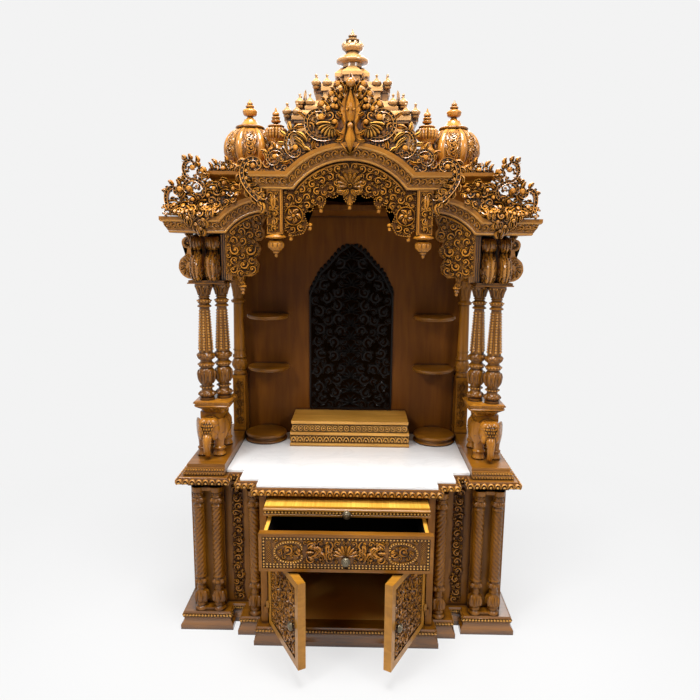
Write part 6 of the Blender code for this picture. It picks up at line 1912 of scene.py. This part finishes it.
def rear_column():
    """Columns against the back wall: a carved block, then a turned shaft with leaves and beads."""
    x, y, half = 0.529, 0.27, 0.0285
    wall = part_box("rear_column_right")[1].y
    front_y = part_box("rear_column_right")[0].y
    low, block_top = SIDE_PLINTH_TOP + SEAM, SIDE_PLINTH_TOP + 0.272
    post_top = ABACUS_TOP - ABACUS
    made = Shape()
    box(made, (x - half, front_y + 0.003, low), (x + half, wall, block_top))
    for z0, z1 in ((low, low + 0.02), (block_top - 0.016, block_top)):
        box(made, (x - half - 0.0015, front_y, z0), (x + half + 0.0015, wall, z1))
    flat = Shape()
    vine(flat, x, low + 0.03, block_top - low - 0.055, 0.019, 5)
    made.put(flat, front(front_y + 0.003))
    rows = ((0.87, 0.0), (0.87, 0.035), (0.7, 0.045), (0.67, 0.055), (0.8, 0.08, 0.2), (0.93, 0.115, 0.15),
            (0.7, 0.18, 0.1), (0.87, 0.2, 0.4), (0.73, 0.22), (0.63, 0.755), (0.87, 0.777, 0.4), (0.63, 0.8),
            (0.66, 0.82), (1.0, 0.955, -0.08), (1.0, 1.0))
    post = shares(rows, 0.036, block_top - 0.001, post_top - block_top + 0.001)
    turned(made, post, x, y, 22)
    at = radius_of(post)
    span = post_top - block_top
    for share, tall in ((0.06, 0.08), (0.82, 0.12)):
        ring_of_leaves(made, x, y, at, block_top + share * span, tall * span, 8, 0.0035)
    for share in (0.205, 0.262, 0.777, 0.97):
        z = block_top + share * span
        ring_of_beads(made, x, y, z, float(at(z)) + 0.0005, 14, 0.003)
    box(made, (x - half, front_y, post_top - 0.001), (x + half, wall, CORNICE_FOOT - SEAM))
    pair("carved_rear_column", made, "teak", "rear_column", slot="dark_teak")


def dress_frame():
    """Finish every node that stays in view."""
    across = ("counter_top", "roof_deck", "portico_cornice", "drawer_front", "side_cornice_left",
              "side_cornice_right", "side_plinth_left", "side_plinth_right")
    # the spire, the pedestal and the cupboard's inside take finishes with painted light and painted shade
    own = {"tray": "tray_wood", "spire": "lit_roof", "door_left": "golden_teak", "door_right": "golden_teak",
           "pedestal": "highlight_pale_teak", "drawer_box": "drawer_wood", "case_interior": "shade_black_teak",
           "base_plinth": "plinth_teak", **dict.fromkeys(across, "teak_across")}
    for entry in frame["record"]["subparts"]:
        name, slot = entry["node"], entry["material_slot"]
        finish = own.get(name, "antique_brass" if slot == "knobs" else slot)
        node = frame["nodes"][name]
        node.data.materials.clear()
        node.data.materials.append(FINISHES[finish].material)


def stage():
    """Floor, camera and soft studio lights."""
    side = 9.0
    floor_mesh = bpy.data.meshes.new("floor")
    floor_mesh.from_pydata([(-side, -side, 0), (side, -side, 0), (side, side, 0), (-side, side, 0)], [],
            [(0, 1, 2, 3)])
    floor = bpy.data.objects.new("floor", floor_mesh)
    bpy.context.collection.objects.link(floor)
    paint = Finish("floor_paint", roughness=0.7)
    paint.set("Base Color", (0.8, 0.8, 0.8))
    away = (paint.height("X") ** 2 + paint.height("Y") ** 2) ** 0.5
    share = paint.seen() * (0.78 + 0.22 * paint.span(away, 1.0, 2.6))
    pale = paint.node("ShaderNodeEmission", {}, {"Color": BACKDROP})
    both = paint.node("ShaderNodeMixShader", {}, {0: share, 1: Wire(paint, paint.shader.outputs[0]), 2: pale})
    paint.tree.links.new(both.socket, paint.tree.nodes["Material Output"].inputs["Surface"])
    floor_mesh.materials.append(paint.material)

    world = bpy.data.worlds.new("studio")
    bpy.context.scene.world = world
    world.use_nodes = True
    world.node_tree.nodes.clear()
    studio = Nodes(world.node_tree)
    dim = studio.node("ShaderNodeBackground", {}, {"Color": (0.95, 0.97, 1.0), "Strength": 0.15})
    pale = studio.node("ShaderNodeBackground", {}, {"Color": BACKDROP})
    both = studio.node("ShaderNodeMixShader", {}, {0: studio.seen(), 1: dim, 2: pale})
    studio.node("ShaderNodeOutputWorld", {}, {"Surface": both})

    for name, place, aim, size, power in (("overhead", (0.0, -1.0, 4.3), (0, 0, 1.0), 1.6, 200),
            ("key", (-2.0, -2.6, 3.5), (0, 0, 1.3), 0.8, 75), ("fill", (2.3, -2.6, 3.2), (0, 0, 1.2), 0.9,
            50), ("rear", (0.6, 3.2, 3.2), (0, 0, 1.2), 2.2, 45)):
        lamp = bpy.data.lights.new(name, "AREA")
        lamp.size = size
        lamp.energy = power
        holder = bpy.data.objects.new(name, lamp)
        bpy.context.collection.objects.link(holder)
        direction = Matrix.Translation(aim).translation - Matrix.Translation(place).translation
        holder.location = place
        holder.rotation_euler = direction.to_track_quat("-Z", "Y").to_euler()

    camera = bpy.data.cameras.new("camera")
    camera.lens = CAMERA_LENS
    camera.sensor_width = 36.0
    holder = bpy.data.objects.new("camera", camera)
    bpy.context.collection.objects.link(holder)
    way = turned_by(CAMERA_TURN, "Z") @ turned_by(CAMERA_PITCH, "X") @ turned_by(CAMERA_ROLL, "Z")
    holder.matrix_world = Matrix.Translation(CAMERA_PLACE) @ way
    bpy.context.scene.camera = holder
    bpy.context.scene.view_settings.view_transform = "Standard"


def main():
    make_finishes()
    dress_frame()
    stage()
    cornices()
    base_edges()
    base_columns()
    centre_crest()
    corner_crest()
    valances()
    hanging_post()
    twin_columns()
    capital()
    dome()
    ribbed_finial()
    top_finial()
    spire_trim()
    door_carvings()
    drawer_carving()
    tray_beads()
    knobs()
    pedestal_bands()
    side_plinth_bands()
    screen()
    shelves()
    elephant()
    rear_column()


main()
